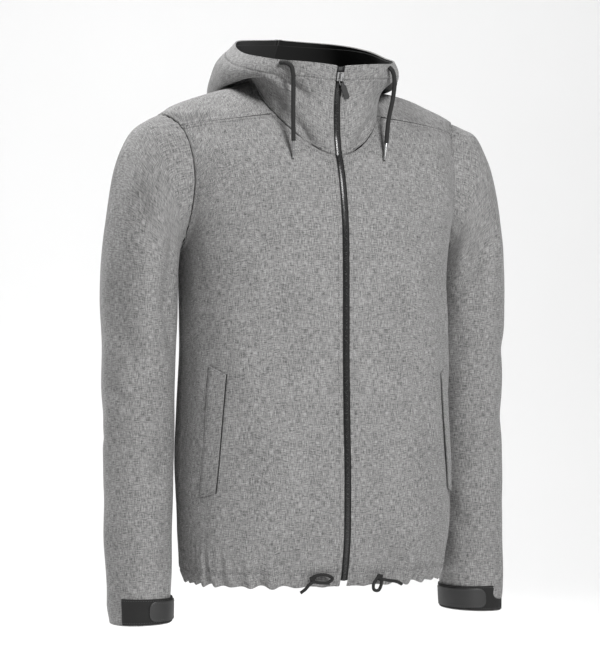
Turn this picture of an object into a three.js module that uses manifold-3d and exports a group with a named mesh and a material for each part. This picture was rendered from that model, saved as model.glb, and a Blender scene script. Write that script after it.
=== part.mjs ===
// A zipped softshell jacket with a lowered hood, held open by the shoulders of a wearer who isn't there.
// Millimetres, +Z up. The wearer faces -Y and the wearer's left is +X. The origin is the middle of the neck
// at the height of the shoulders. Every cloth piece is a thin wall made from one shared surface, so that
// neighbouring panels meet edge to edge along their seams.
import * as THREE from "three";
import { mergeVertices } from "three/addons/utils/BufferGeometryUtils.js";
import Module from "manifold-3d";

const wasm = await Module();
wasm.setup();

// Driving dimensions
const WALL = 1.8; // bonded softshell cloth
const LINING_WALL = 1.0;
const SEAM = 0.36; // gap between neighbouring pieces
const UNDER = WALL + 0.8; // depth at which a piece lies behind the cloth
const HEM_Z = -666;
const NECK = { half: 84, front: -128, back: 52 }; // neck hole seen from above
const ARMHOLE = { midY: 2, midZ: -121, front: 86, back: 62, rise: 94 };
const SHOULDER_SEAM = { neckTurn: 63, armTurn: 38 }; // where the forward shoulder seam ends, in degrees
const ZIP = { edge: 5, tapeFrom: 0.4, tapeTo: 17, tapeWall: 0.7, chainHalf: 2.7, chainLift: -0.1, chainWall: 1.8, sliderWay: 0.84 };
const SLIDER = { width: 9, length: 12, wall: 1.2, front: 1.9, flangeDepth: 3.4, bridgeWidth: 1.8, bridgeRise: 3.6, bridgeWall: 1.1 };
const PULL = { askew: 26, linkHalf: 2.9, linkLength: 8, wire: 0.6, tabLength: 22, tabWidth: 7.4, tabWall: 2.4, tabEdge: 1.9 };
const CUFF = { bandWall: 1.0, tabWall: 1.6, bandTurns: [38, 306], tabTurns: [88, 198], tabRound: 14, tabInset: 3 };
const CORD = { radius: 3, sides: 8, tipRadius: 2.2, tipLength: 23, tipGap: 0.4 };
const HEM_CORD = { radius: 2.2, sides: 6, knotRadius: 6 };

// Level sections through the body: half width, front and back reach, the side's place and how square it is
const BODY_RINGS = [
  { z: -670, half: 177, front: -143, back: 90, mid: -30, square: 2.3 },
  { z: -640, half: 186, front: -153, back: 96, mid: -30, square: 2.3 },
  { z: -590, half: 192, front: -161, back: 98, mid: -30, square: 2.35 },
  { z: -520, half: 193, front: -162, back: 95, mid: -30, square: 2.4 },
  { z: -430, half: 190, front: -158, back: 90, mid: -30, square: 2.4 },
  { z: -340, half: 187, front: -156, back: 90, mid: -30, square: 2.45 },
  { z: -260, half: 187, front: -156, back: 96, mid: -28, square: 2.5 },
  { z: -200, half: 193, front: -155, back: 103, mid: -24, square: 2.6 },
  { z: -150, half: 201, front: -149, back: 106, mid: -18, square: 2.7 },
  { z: -100, half: 209, front: -135, back: 102, mid: -10, square: 2.7 },
  { z: -60, half: 215, front: -111, back: 91, mid: -2, square: 2.6 },
  { z: -30, half: 214, front: -84, back: 76, mid: 2, square: 2.5 },
  { z: -19, half: 200, front: -71, back: 66, mid: 3, square: 2.5 },
  { z: -6, half: 170, front: -57, back: 56, mid: 4, square: 2.5 },
  { z: 5, half: 140, front: -45, back: 47, mid: 5, square: 2.5 },
  { z: 14, half: 110, front: -34, back: 38, mid: 5, square: 2.5 },
  { z: 24, half: 80, front: -24, back: 30, mid: 5, square: 2.5 },
  { z: 40, half: 12, front: -2, back: 12, mid: 5, square: 2.5 },
];

// Sections through a sleeve, from the armhole down: tilt of the section, its inner (underarm) edge, its length
// outward and its reach to the front and back
const SLEEVE_RINGS = [
  { tilt: 75, innerX: 193.5, innerZ: -218, length: 185, front: 83, back: 65, midY: 1, square: 2.2 },
  { tilt: 65, innerX: 194, innerZ: -221, length: 163, front: 82, back: 68, midY: 0, square: 2.2 },
  { tilt: 50, innerX: 194, innerZ: -225, length: 131, front: 81, back: 70, midY: 0, square: 2.2 },
  { tilt: 35, innerX: 194, innerZ: -231, length: 112, front: 79, back: 71, midY: 0, square: 2.2 },
  { tilt: 18, innerX: 194, innerZ: -240, length: 101, front: 77, back: 71, midY: 0, square: 2.2 },
  { tilt: 5, innerX: 194, innerZ: -256, length: 98.5, front: 74, back: 69, midY: 0, square: 2.2 },
  { tilt: 0, innerX: 194.5, innerZ: -290, length: 98, front: 70, back: 66, midY: 1, square: 2.2 },
  { tilt: 0, innerX: 195, innerZ: -350, length: 97, front: 65, back: 62, midY: 3, square: 2.2 },
  { tilt: 0, innerX: 196, innerZ: -420, length: 96, front: 60, back: 60, midY: 4, square: 2.2 },
  { tilt: 0, innerX: 198, innerZ: -500, length: 94, front: 56, back: 57, midY: 2, square: 2.2 },
  { tilt: 0, innerX: 200.5, innerZ: -580, length: 91, front: 53, back: 54, midY: -3, square: 2.2 },
  { tilt: 0, innerX: 202, innerZ: -640, length: 87.5, front: 51, back: 51, midY: -8, square: 2.2 },
  { tilt: 0, innerX: 203, innerZ: -683, length: 84, front: 49, back: 49, midY: -11, square: 2.2 },
  { tilt: -2, innerX: 204, innerZ: -717, length: 82, front: 48.5, back: 48.5, midY: -13, square: 2.2 },
];

// Paths from the neck seam up to the hood's edge, by turn about the neck: 0 is the zip and 180 the centre back.
// Each point is how far out it lies from the neck seam, and its height
const HOOD_PATHS = [
  { turn: 0, out: [0, -6, -8, -8, -5, 0, 4, 9], z: [0, -62, -38, -20, -4, 10, 22, 33] },
  { turn: 45, out: [0, 3, 8, 13, 18, 22, 24, 24], z: [0, -26, -6, 6, 15, 24, 32, 41] },
  { turn: 68, out: [0, 5, 12, 20, 27, 30, 28, 24], z: [0, 8, 22, 20, 21, 29, 40, 49] },
  { turn: 90, out: [0, 7, 15, 25, 34, 37, 32, 22], z: [0, 22, 31, 23, 17, 30, 45, 58] },
  { turn: 120, out: [0, 9, 22, 39, 53, 60, 50, 29], z: [0, 30, 35, 19, 11, 30, 57, 76] },
  { turn: 150, out: [0, 12, 30, 60, 84, 106, 92, 50], z: [0, 33, 33, -18, -76, -34, 45, 90] },
  { turn: 180, out: [0, 12, 30, 62, 86, 118, 108, 64], z: [0, 36, 36, -48, -146, -76, 40, 97] },
];
const HOOD_STEPS = 20; // rows from the neck seam to the hood's edge

// The largest folds: soft troughs (depth above 0) and ridges (below 0) along straight runs near the cloth
const CHEST_FOLDS = [
  { from: [-48, -118, -100], to: [-70, -130, -190], width: 14, depth: 2.0 },
  { from: [50, -118, -100], to: [74, -128, -200], width: 14, depth: 2.0 },
  { from: [-150, -120, -575], to: [-60, -160, -640], width: 16, depth: 2.6 },
  { from: [140, -125, -590], to: [70, -155, -645], width: 15, depth: 2.6 },
  { from: [-186, -60, -300], to: [-189, -70, -430], width: 18, depth: 3.2 },
  { from: [-80, 98, -560], to: [60, 100, -590], width: 22, depth: 3.0 },
  { from: [-150, 60, -350], to: [-40, 92, -420], width: 24, depth: 3.0 },
  { from: [150, 60, -330], to: [50, 92, -410], width: 24, depth: 3.0 },
];
const COLLAR_FOLDS = [
  { from: [-88, -106, 26], to: [-40, -121, -8], width: 8, depth: 4.5 },
  { from: [-58, -112, -38], to: [-24, -128, -82], width: 8, depth: 5 },
  { from: [56, -112, -36], to: [20, -128, -80], width: 8, depth: 5 },
  { from: [78, -100, -10], to: [72, -104, -56], width: 8, depth: 3.5 },
  { from: [-80, -84, 4], to: [-64, -104, -40], width: 9, depth: 3 },
];
// Sleeve folds are given for the wearer's right sleeve (-X) and, mirrored, for the left one
const RIGHT_SLEEVE_FOLDS = [
  { from: [-256, -66, -150], to: [-207, -54, -335], width: 12, depth: 15 },
  { from: [-284, -30, -270], to: [-262, -62, -380], width: 16, depth: 3.5 },
  { from: [-205, -46, -520], to: [-250, -58, -470], width: 14, depth: 4 },
  { from: [-290, 20, -430], to: [-262, 60, -520], width: 16, depth: 4 },
  { from: [-212, 40, -400], to: [-250, 62, -450], width: 16, depth: 4 },
  { from: [-214, 50, -250], to: [-270, 58, -330], width: 18, depth: 6 },
];
const LEFT_SLEEVE_FOLDS = [
  { from: [-240, -72, -165], to: [-222, -70, -245], width: 13, depth: 6 },
  { from: [-252, -70, -196], to: [-212, -58, -262], width: 10, depth: 9 },
  { from: [-290, -20, -330], to: [-245, -62, -400], width: 16, depth: 4.5 },
  { from: [-286, -24, -440], to: [-250, -58, -500], width: 15, depth: 4 },
  { from: [-205, -30, -560], to: [-235, -54, -630], width: 14, depth: 3.5 },
  { from: [-290, 24, -410], to: [-258, 60, -500], width: 16, depth: 4 },
  { from: [-214, 50, -250], to: [-270, 58, -330], width: 18, depth: 6 },
];

// Hood drawcords, from where they leave the hem of the hood down to the tip
const HOOD_CORDS = {
  right: { exitTurn: 47, path: [[-74, -126.5, 36], [-69, -131, 31], [-67, -132, 21], [-66, -130, 0], [-66, -129.5, -34], [-66, -130.6, -68]] },
  left: { exitTurn: 43, path: [[79, -127, 30], [82, -126, 16], [80.5, -124, -6], [73.5, -125.5, -36], [68.5, -129.5, -68]] },
};
const CORD_EXIT_WAY = 0.93;
// Each end of the hem drawcord: out of its knot, round a loop, back past the knot and on into a tail
const HEM_ROUTES = {
  right: [[0, 0, 3.2], [9, -3, 6], [20, -4, 5], [27, -4, 0.5], [20, -4, -4.5], [9, -3.6, -4.5], [1, -1.5, -3.2], [-6, -2.6, -7], [-11, -3, -12], [-18, -2.6, -17]],
  left: [[0, 0, 3.2], [-6, -3, -2], [-11, -4, -9], [-10, -4, -16], [-4, -4, -17], [0, -3.6, -11], [3, -1.5, -3.2], [12, -2.6, -4.5], [22, -3, -6], [31, -2.6, -10]],
};
const HEM_KNOTS = { right: [-46.5, -654.5], left: [50.5, -655] };

// Uneven gathers round the hem's drawcord: how many waves each half of the front and back has
const GATHERS = { reach: 58, depth: 3.4, drop: 1.6, turnsPerHalf: 17, beatTurns: 5 };

// Slanted hand pocket: the opening's top and bottom and the width of the welt beside it
const POCKET = { openTopX: 155, openBottomX: 168, topZ: -381, bottomZ: -540, width: 27, topRise: 12, bottomRise: 6, wall: 1.3 };

const RAD = Math.PI / 180;
const clamp01 = (v) => Math.min(1, Math.max(0, v));
const smooth = (v) => clamp01(v) ** 2 * (3 - 2 * clamp01(v));
const mix = (a, b, t) => a + (b - a) * t;

// A smooth curve through one column of a table, with no overshoot between rows
function curveOf(at, values) {
  const slopes = values.slice(1).map((v, i) => (v - values[i]) / (at[i + 1] - at[i]));
  const tangents = values.map((_, i) => {
    if (i === 0) return slopes[0];
    if (i === slopes.length) return slopes[i - 1];
    const [a, b] = [slopes[i - 1], slopes[i]];
    return a * b <= 0 ? 0 : (2 * a * b) / (a + b);
  });
  return (x) => {
    const last = at.length - 2;
    let i = 0;
    while (i < last && x > at[i + 1]) i++;
    const width = at[i + 1] - at[i];
    const t = clamp01((x - at[i]) / width);
    const [t2, t3] = [t * t, t * t * t];
    return (2 * t3 - 3 * t2 + 1) * values[i] + (t3 - 2 * t2 + t) * width * tangents[i]
      + (3 * t2 - 2 * t3) * values[i + 1] + (t3 - t2) * width * tangents[i + 1];
  };
}
const columns = (rows, key, names) =>
  Object.fromEntries(names.map((name) => [name, curveOf(rows.map((r) => r[key]), rows.map((r) => r[name]))]));
const body = columns(BODY_RINGS, "z", ["half", "front", "back", "mid", "square"]);

// How far the cloth moves along its normal where folds run close to the point
function foldDepth(point, folds) {
  const p = new THREE.Vector3();
  return folds.reduce((sum, fold) => {
    const run = new THREE.Line3(new THREE.Vector3(...fold.from), new THREE.Vector3(...fold.to));
    const along = run.closestPointToPointParameter(point, true);
    run.at(along, p);
    const side = p.distanceTo(point) / fold.width;
    const fade = Math.sin(Math.PI * mix(0.12, 0.88, along));
    return sum - fold.depth * fade * Math.exp(-side * side);
  }, 0);
}

function normalOf(surface, u, v, du, dv) {
  const a = surface(u + du, v).sub(surface(u - du, v));
  const b = surface(u, v + dv).sub(surface(u, v - dv));
  return a.cross(b).normalize();
}

// The body's surface: turn is 0 at the centre back, 90 at the wearer's left side and 180 at the centre front
function bodyBase(turn, z) {
  const [s, c] = [Math.sin(turn * RAD), Math.cos(turn * RAD)];
  const n = body.square(z);
  const k = (Math.abs(s) ** n + Math.abs(c) ** n) ** (-1 / n);
  const mid = body.mid(z);
  const depth = c >= 0 ? body.back(z) - mid : mid - body.front(z);
  return new THREE.Vector3(body.half(z) * k * s, mid + depth * k * c, z);
}
// Waves of the gathered hem, uneven in height and spacing
function gather(turn, z) {
  const clearOfZip = smooth((180 - turn - 5.5) / 5);
  const share = clearOfZip * smooth((HEM_Z + GATHERS.reach - z) / GATHERS.reach);
  const uneven = 0.62 + 0.38 * Math.sin(GATHERS.beatTurns * turn * 2 * RAD + 1.1);
  const wave = Math.sin(2 * GATHERS.turnsPerHalf * (turn + 2.2 * Math.sin(3 * turn * RAD)) * RAD);
  return share * uneven * wave;
}
function bodySurface(turn, z) {
  const base = bodyBase(turn, z);
  const out = normalOf(bodyBase, turn, z, 0.4, -0.8);
  const wave = gather(turn, z);
  base.z -= GATHERS.drop * wave * smooth((HEM_Z + 24 - z) / 24);
  return base.addScaledVector(out, GATHERS.depth * wave + foldDepth(base, CHEST_FOLDS));
}
const bodyVertex = ([turn, z], lift = 0) => {
  const n = normalOf(bodySurface, turn, z, 0.3, -0.6);
  return { p: bodySurface(turn, z).addScaledVector(n, lift), n };
};

// The body turn at which the surface at height z has the given x (front side) or y
function turnAtX(x, z, front) {
  const n = body.square(z);
  const s = Math.min(1, Math.abs(x) / body.half(z));
  const c = (1 - s ** n) ** (1 / n);
  const turn = Math.atan2(s, c) / RAD;
  return front ? 180 - turn : turn;
}
function turnAtY(y, z) {
  const n = body.square(z);
  const mid = body.mid(z);
  const depth = y >= mid ? body.back(z) - mid : mid - body.front(z);
  const c = Math.min(1, Math.abs(y - mid) / depth);
  const turn = Math.atan2((1 - c ** n) ** (1 / n), c) / RAD;
  return y >= mid ? turn : 180 - turn;
}
// The surface's height over a point of the plan, near the neck
function heightOver(x, y) {
  let [low, high] = [-110, 39];
  for (let i = 0; i < 40; i++) {
    const z = (low + high) / 2;
    const n = body.square(z);
    const mid = body.mid(z);
    const depth = y >= mid ? body.back(z) - mid : mid - body.front(z);
    const outside = (Math.abs(x) / body.half(z)) ** n + (Math.abs(y - mid) / depth) ** n > 1;
    if (outside) high = z;
    else low = z;
  }
  return low;
}

// The neck seam from above: turn 0 at the zip, 180 at the centre back
const NECK_MID = (NECK.front + NECK.back) / 2;
const NECK_DEPTH = (NECK.back - NECK.front) / 2;
function neckPoint(turn) {
  const x = NECK.half * Math.sin(turn * RAD);
  const y = NECK_MID - NECK_DEPTH * Math.cos(turn * RAD);
  return [x, y, heightOver(x, y)];
}
// A point of a seam on the body, in the body's own turn and height
function onBody(x, y, z) {
  return [turnAtY(y, z), z, x];
}
const neckOnBody = (turn) => {
  const [x, y, z] = neckPoint(turn);
  const n = body.square(z);
  const mid = body.mid(z);
  const depth = y >= mid ? body.back(z) - mid : mid - body.front(z);
  const angle = Math.atan2(Math.abs(x) / body.half(z), Math.abs(y - mid) / depth) / RAD;
  return [y >= mid ? angle : 180 - angle, z - 0.5 * SEAM, n];
};
// The armhole seam: turn 0 on top of the shoulder, 90 at the front, 180 at the armpit, 270 at the back
function armholeYZ(turn, grow = 0) {
  const s = Math.sin(turn * RAD);
  const reach = s >= 0 ? ARMHOLE.front : ARMHOLE.back;
  return [ARMHOLE.midY - (reach + grow) * s, ARMHOLE.midZ + (ARMHOLE.rise + grow) * Math.cos(turn * RAD)];
}
const armholeOnBody = (turn) => {
  const [y, z] = armholeYZ(turn, SEAM);
  return [turnAtY(y, z), z, 0];
};

// A cloth patch is a list of rows; each row is a list of vertices from its first edge to its last.
// stitch() joins two rows with triangles, whatever their counts.
function stitch(a, b, triangles) {
  let [i, j] = [0, 0];
  while (i < a.length - 1 || j < b.length - 1) {
    const takeA = j === b.length - 1 || (i < a.length - 1 && (i + 1) / (a.length - 1) <= (j + 1) / (b.length - 1));
    if (takeA) triangles.push([a[i], a[++i], b[j]]);
    else triangles.push([a[i], b[j + 1], b[j++]]);
  }
}
function patch(rows) {
  const triangles = [];
  rows.slice(1).forEach((row, i) => stitch(rows[i], row, triangles));
  return triangles;
}
const mirrorVertex = (v) => ({ p: new THREE.Vector3(-v.p.x, v.p.y, v.p.z), n: new THREE.Vector3(-v.n.x, v.n.y, v.n.z) });
const flip = (triangles) => triangles.map(([a, b, c]) => [a, c, b]);
const mirror = (triangles) => triangles.map(([a, b, c]) => [mirrorVertex(a), mirrorVertex(c), mirrorVertex(b)]);

// Closes a list of triangles into a wall: the cloth's outer face, its inner face and its cut edges
function wallOf(triangles, thickness) {
  const points = [];
  const found = new Map();
  const indexOf = (v) => {
    const key = v.p.toArray().map((x) => Math.round(x * 500)).join();
    if (!found.has(key)) {
      found.set(key, points.length);
      points.push(v);
    }
    return found.get(key);
  };
  const faces = triangles.map((t) => t.map(indexOf)).filter(([a, b, c]) => a !== b && b !== c && a !== c);
  const edges = new Map();
  faces.forEach((f) => f.forEach((a, i) => {
    const b = f[(i + 1) % 3];
    edges.set(a + "," + b, [a, b]);
  }));
  const inner = points.map((v) => v.p.clone().addScaledVector(v.n, -thickness));
  const count = points.length;
  const index = [];
  faces.forEach(([a, b, c]) => index.push(a, b, c, c + count, b + count, a + count));
  edges.forEach(([a, b]) => {
    if (!edges.has(b + "," + a)) index.push(b, a, a + count, b, a + count, b + count);
  });
  const geometry = new THREE.BufferGeometry();
  const all = [...points.map((v) => v.p), ...inner];
  geometry.setAttribute("position", new THREE.Float32BufferAttribute(all.flatMap((p) => p.toArray()), 3));
  geometry.setIndex(index);
  return geometry;
}

const COLOURS = {
  melange: { color: 0x8b8a88, roughness: 0.9, metalness: 0 },
  lining: { color: 0x17181a, roughness: 0.95, metalness: 0 },
  black_tape: { color: 0x121214, roughness: 0.75, metalness: 0 },
  rubber: { color: 0x1b1b1d, roughness: 0.5, metalness: 0 },
  metal: { color: 0x8a8c90, roughness: 0.3, metalness: 1 },
  clear_tip: { color: 0xb9b9bc, roughness: 0.25, metalness: 0.6 },
};
const jacket = new THREE.Group();
function addPiece(name, geometry, colour) {
  const mesh = new THREE.Mesh(geometry, new THREE.MeshStandardMaterial(COLOURS[colour]));
  mesh.name = name;
  jacket.add(mesh);
  return mesh;
}
const cloth = (name, triangles, colour = "melange", thickness = WALL) => addPiece(name, wallOf(triangles, thickness), colour);

// Rows of a body panel between its inner edge and its outer edge, given at each row in body turn and height
function panelRows(count, innerAt, outerAt, columnsAt, lift = 0) {
  return Array.from({ length: count + 1 }, (_, row) => {
    const [inner, outer] = [innerAt(row), outerAt(row)];
    const across = columnsAt(row);
    return Array.from({ length: across + 1 }, (_, i) => {
      const t = i / across;
      return bodyVertex([mix(inner[0], outer[0], t), mix(inner[1], outer[1], t)], lift);
    });
  });
}

// The side seam runs from the hem up to the lowest point of the armhole
const SIDE_SEAM = { hemTurn: 91, halfGap: 0.06 };
const ARMPIT = armholeOnBody(180);
const sideSeamTurn = (z) => mix(SIDE_SEAM.hemTurn, ARMPIT[0], clamp01((z - HEM_Z) / (ARMPIT[1] - HEM_Z)) ** 1.5);
const sideSeamAt = (row, lastRow, side) => {
  const z = hemHeight(row, lastRow, ARMPIT[1]);
  return [sideSeamTurn(z) + side * SIDE_SEAM.halfGap, z];
};
const FRONT = { columns: 10, hemColumns: 36, hemRows: 2, sideRows: 11, armRows: 9, zipRows: 14 };
const BACK = { columns: 11, hemColumns: 36, hemRows: 2, sideRows: 11, armRows: 9, forwardRows: 3, spineRows: 14 };
const NAPE_TURN = 106; // where the back's neck edge turns forward over the shoulder
const rowsBetween = (from, to, count) => Array.from({ length: count + 1 }, (_, i) => mix(from, to, i / count));
const ZIP_TURN = Math.asin(ZIP.edge / NECK.half) / RAD;
// Armhole turns shared by the body's rows and the sleeve's columns
const FORWARD_ARM_TURNS = rowsBetween(0, SHOULDER_SEAM.armTurn, BACK.forwardRows);
const FRONT_ARM_TURNS = rowsBetween(SHOULDER_SEAM.armTurn, 180, FRONT.armRows);
const BACK_ARM_TURNS = rowsBetween(180, 360, BACK.armRows);
// Neck seam turns shared by the body's rows and the hood's columns
const FRONT_NECK_TURNS = rowsBetween(ZIP_TURN, SHOULDER_SEAM.neckTurn, FRONT.sideRows + FRONT.armRows - FRONT.zipRows);
const FORWARD_NECK_TURNS = rowsBetween(SHOULDER_SEAM.neckTurn, NAPE_TURN, BACK.forwardRows);
const BACK_NECK_TURNS = rowsBetween(NAPE_TURN, 180, BACK.sideRows + BACK.armRows - BACK.spineRows);
const HEM_ROW_Z = [HEM_Z, HEM_Z + 10, HEM_Z + 30];
const hemHeight = (row, lastRow, topZ) =>
  row < HEM_ROW_Z.length ? HEM_ROW_Z[row]
    : mix(HEM_ROW_Z.at(-1), topZ, (row - HEM_ROW_Z.length + 1) / (lastRow - HEM_ROW_Z.length + 1));

// One half of the front, from the zip's edge to the side seam and armhole, up to the forward shoulder seam
function frontPanel() {
  const rows = FRONT.sideRows + FRONT.armRows;
  const [, , neckZ] = neckPoint(ZIP_TURN);
  const innerAt = (row) => {
    if (row <= FRONT.zipRows) {
      const z = hemHeight(row, FRONT.zipRows, neckZ - 0.5 * SEAM);
      return [turnAtX(ZIP.edge, z, true), z];
    }
    return neckOnBody(FRONT_NECK_TURNS[row - FRONT.zipRows]);
  };
  const outerAt = (row) => {
    if (row <= FRONT.sideRows) return sideSeamAt(row, FRONT.sideRows, 1);
    return armholeOnBody(FRONT_ARM_TURNS[rows - row]);
  };
  const columnsAt = (row) => (row < FRONT.hemRows ? FRONT.hemColumns : FRONT.columns);
  return patch(panelRows(rows, innerAt, outerAt, columnsAt));
}

// One half of the back, which comes over the shoulder to the forward seam; its halves join at the spine
function backPanel() {
  const sideAndArm = BACK.sideRows + BACK.armRows;
  const rows = sideAndArm + BACK.forwardRows;
  const [, , nape] = neckPoint(180);
  const innerAt = (row) => {
    if (row <= BACK.spineRows) return [0, hemHeight(row, BACK.spineRows, nape - 0.5 * SEAM)];
    if (row <= sideAndArm) return neckOnBody(BACK_NECK_TURNS[sideAndArm - row]);
    const at = neckOnBody(FORWARD_NECK_TURNS[rows - row]);
    return row === rows ? [at[0] - 0.35, at[1] + SEAM, 0] : at;
  };
  const outerAt = (row) => {
    if (row <= BACK.sideRows) return sideSeamAt(row, BACK.sideRows, -1);
    if (row <= sideAndArm) return armholeOnBody(BACK_ARM_TURNS[row - BACK.sideRows]);
    const at = armholeOnBody(FORWARD_ARM_TURNS[row - sideAndArm]);
    return row === rows ? [at[0] - 0.1, at[1] + SEAM, 0] : at;
  };
  const columnsAt = (row) => (row < BACK.hemRows ? BACK.hemColumns : BACK.columns);
  return patch(panelRows(rows, innerAt, outerAt, columnsAt));
}

// Sleeve surface for the right arm (-X): turn round the sleeve as on the armhole, step along the ring table
const SLEEVE_STEP_AT = [0, ...SLEEVE_RINGS.map((_, i) => i + 1)];
function sleeveRingPoint(ring, turn) {
  const [c, s] = [Math.cos(turn * RAD), Math.sin(turn * RAD)];
  const k = (Math.abs(c) ** ring.square + Math.abs(s) ** ring.square) ** (-1 / ring.square);
  const outward = (ring.length / 2) * (1 + c * k);
  const reach = (s >= 0 ? ring.front : ring.back) * s * k;
  const tilt = ring.tilt * RAD;
  return new THREE.Vector3(-ring.innerX - Math.cos(tilt) * outward, ring.midY - reach, ring.innerZ + Math.sin(tilt) * outward);
}
function armholePoint(turn) {
  const [y, z] = armholeYZ(turn);
  const at = bodyBase(turnAtY(y, z), z);
  return new THREE.Vector3(-at.x - SEAM, y, z);
}
const sleeveCurves = new Map();
function sleeveBase(turn, step) {
  const key = turn.toFixed(4);
  if (!sleeveCurves.has(key)) {
    const stations = [armholePoint(turn), ...SLEEVE_RINGS.map((ring) => sleeveRingPoint(ring, turn))];
    sleeveCurves.set(key, ["x", "y", "z"].map((axis) => curveOf(SLEEVE_STEP_AT, stations.map((p) => p[axis]))));
  }
  const [x, y, z] = sleeveCurves.get(key);
  return new THREE.Vector3(x(step), y(step), z(step));
}
const sleeveSurface = (folds) => (turn, step) => {
  const base = sleeveBase(turn, step);
  const out = normalOf(sleeveBase, turn, step, -1.5, 0.04);
  return base.addScaledVector(out, foldDepth(base, folds) * smooth(step / 1.5));
};
function sleeveVertex(folds, turn, step, lift = 0) {
  const surface = sleeveSurface(folds);
  const n = normalOf(surface, turn, step, -1.5, 0.04);
  return { p: surface(turn, step).addScaledVector(n, lift), n };
}
const SLEEVE_STEPS = [0, 0.5, 1, 2, 3, 4, 5, 6, 6.5, 7, 7.5, 8, 8.6, 9.2, 9.8, 10.4, 11, 12, 13, 14];
const SLEEVE_TURNS = [...FORWARD_ARM_TURNS, ...FRONT_ARM_TURNS.slice(1), ...BACK_ARM_TURNS.slice(1)].reverse();
const sleeveRows = (folds, steps, turns, lift) => steps.map((step) => turns.map((turn) => sleeveVertex(folds, turn, step, lift)));
const sleeve = (folds) => patch(sleeveRows(folds, SLEEVE_STEPS, SLEEVE_TURNS, 0));

// The hood's surface: turn 0 at the zip and 180 at the centre back, way 0 at the neck seam and 1 at the edge
const HOOD_TURNS = HOOD_PATHS.map((p) => p.turn);
const HOOD_POINTS = HOOD_PATHS[0].out.length;
const hoodOut = Array.from({ length: HOOD_POINTS }, (_, i) => curveOf(HOOD_TURNS, HOOD_PATHS.map((p) => p.out[i])));
const hoodZ = Array.from({ length: HOOD_POINTS }, (_, i) => curveOf(HOOD_TURNS, HOOD_PATHS.map((p) => p.z[i])));
const hoodPaths = new Map();
function hoodPath(turn) {
  const key = turn.toFixed(4);
  if (!hoodPaths.has(key)) {
    const points = hoodOut.map((out, i) => new THREE.Vector3(out(turn), i === 0 ? neckPoint(turn)[2] + 0.5 * SEAM : hoodZ[i](turn), 0));
    hoodPaths.set(key, new THREE.CatmullRomCurve3(points, false, "centripetal"));
  }
  return hoodPaths.get(key);
}
function hoodBase(turn, way) {
  const at = hoodPath(turn).getPoint(clamp01(way));
  const [x, y] = neckPoint(turn);
  const outward = new THREE.Vector2(x, y - NECK_MID).normalize();
  return new THREE.Vector3(x + outward.x * at.x, y + outward.y * at.x, at.y);
}
function hoodNormal(surface, turn, way) {
  const [turnStep, wayStep] = [0.6, 0.006];
  const w = Math.min(1 - wayStep, Math.max(wayStep, way));
  return normalOf(surface, turn, w, turnStep, wayStep);
}
const hoodSurface = (folds) => (turn, way) => {
  const base = hoodBase(turn, way);
  return base.addScaledVector(hoodNormal(hoodBase, turn, way), foldDepth(base, folds));
};
function hoodVertex(folds, turn, way, lift = 0) {
  const surface = hoodSurface(folds);
  const n = hoodNormal(surface, turn, way);
  if (turn === 180) n.setX(0).normalize();
  const p = surface(turn, way).addScaledVector(n, lift);
  if (turn === 180) p.setX(SEAM / 2);
  return { p, n };
}
const mirroredFolds = (folds) => folds.map((f) => ({ ...f, from: [-f.from[0], ...f.from.slice(1)], to: [-f.to[0], ...f.to.slice(1)] }));
const HOOD_COLUMN_TURNS = [...FRONT_NECK_TURNS, ...FORWARD_NECK_TURNS.slice(1), ...BACK_NECK_TURNS.slice(1)];
const HOOD_WAYS = rowsBetween(0, 1, HOOD_STEPS);
const hoodPatch = (folds, turns, ways, lift) => patch(ways.map((way) => turns.map((turn) => hoodVertex(folds, turn, way, lift))));

// The zip runs up the centre front from the hem to the hood's edge. Rows are the front panel's and the hood's,
// so that what lies behind or between them bends with them.
function zipVertex(x, row, lift, folds) {
  if (row.z !== undefined) {
    const turn = turnAtX(Math.abs(x), row.z, true);
    const v = bodyVertex([turn, row.z], lift);
    return x < 0 ? mirrorVertex(v) : v;
  }
  const v = hoodVertex(folds, Math.asin(Math.abs(x) / NECK.half) / RAD, row.way, lift);
  return x < 0 ? mirrorVertex(v) : v;
}
const bodyZipRows = (firstZ) => [firstZ, ...rowsBetween(3, FRONT.zipRows - 1, FRONT.zipRows - 4)
  .map((row) => hemHeight(row, FRONT.zipRows, neckPoint(ZIP_TURN)[2] - 0.5 * SEAM))].map((z) => ({ z }));
const hoodZipRows = (topWay) => [...rowsBetween(0, 1, HOOD_STEPS).filter((way) => way < topWay), topWay].map((way) => ({ way }));
const zipStrip = (xs, lift, folds) => [...bodyZipRows(HEM_Z + 7), ...hoodZipRows(0.985)].map((row) => xs.map((x) => zipVertex(x, row, lift, folds)));

// A tube along a smooth curve, closed at both ends
function tube(points, radius, sides, steps, endRadius = radius) {
  const curve = new THREE.CatmullRomCurve3(points.map((p) => new THREE.Vector3(...p)), false, "centripetal");
  const frames = curve.computeFrenetFrames(steps, false);
  const positions = [];
  for (let i = 0; i <= steps; i++) {
    const centre = curve.getPointAt(i / steps);
    for (let j = 0; j < sides; j++) {
      const angle = (2 * Math.PI * j) / sides;
      const r = mix(radius, endRadius, i / steps);
      const p = centre.clone().addScaledVector(frames.normals[i], r * Math.cos(angle));
      positions.push(...p.addScaledVector(frames.binormals[i], r * Math.sin(angle)).toArray());
    }
  }
  const index = [];
  for (let j = 0; j < sides; j++) {
    const k = (j + 1) % sides;
    for (let i = 0; i < steps; i++) {
      const [a, b] = [i * sides, (i + 1) * sides];
      index.push(a + j, a + k, b + k, a + j, b + k, b + j);
    }
    if (j > 0 && k > 0) index.push(0, k, j, steps * sides, steps * sides + j, steps * sides + k);
  }
  const geometry = new THREE.BufferGeometry();
  geometry.setAttribute("position", new THREE.Float32BufferAttribute(positions, 3));
  geometry.setIndex(index);
  return geometry;
}

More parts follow.
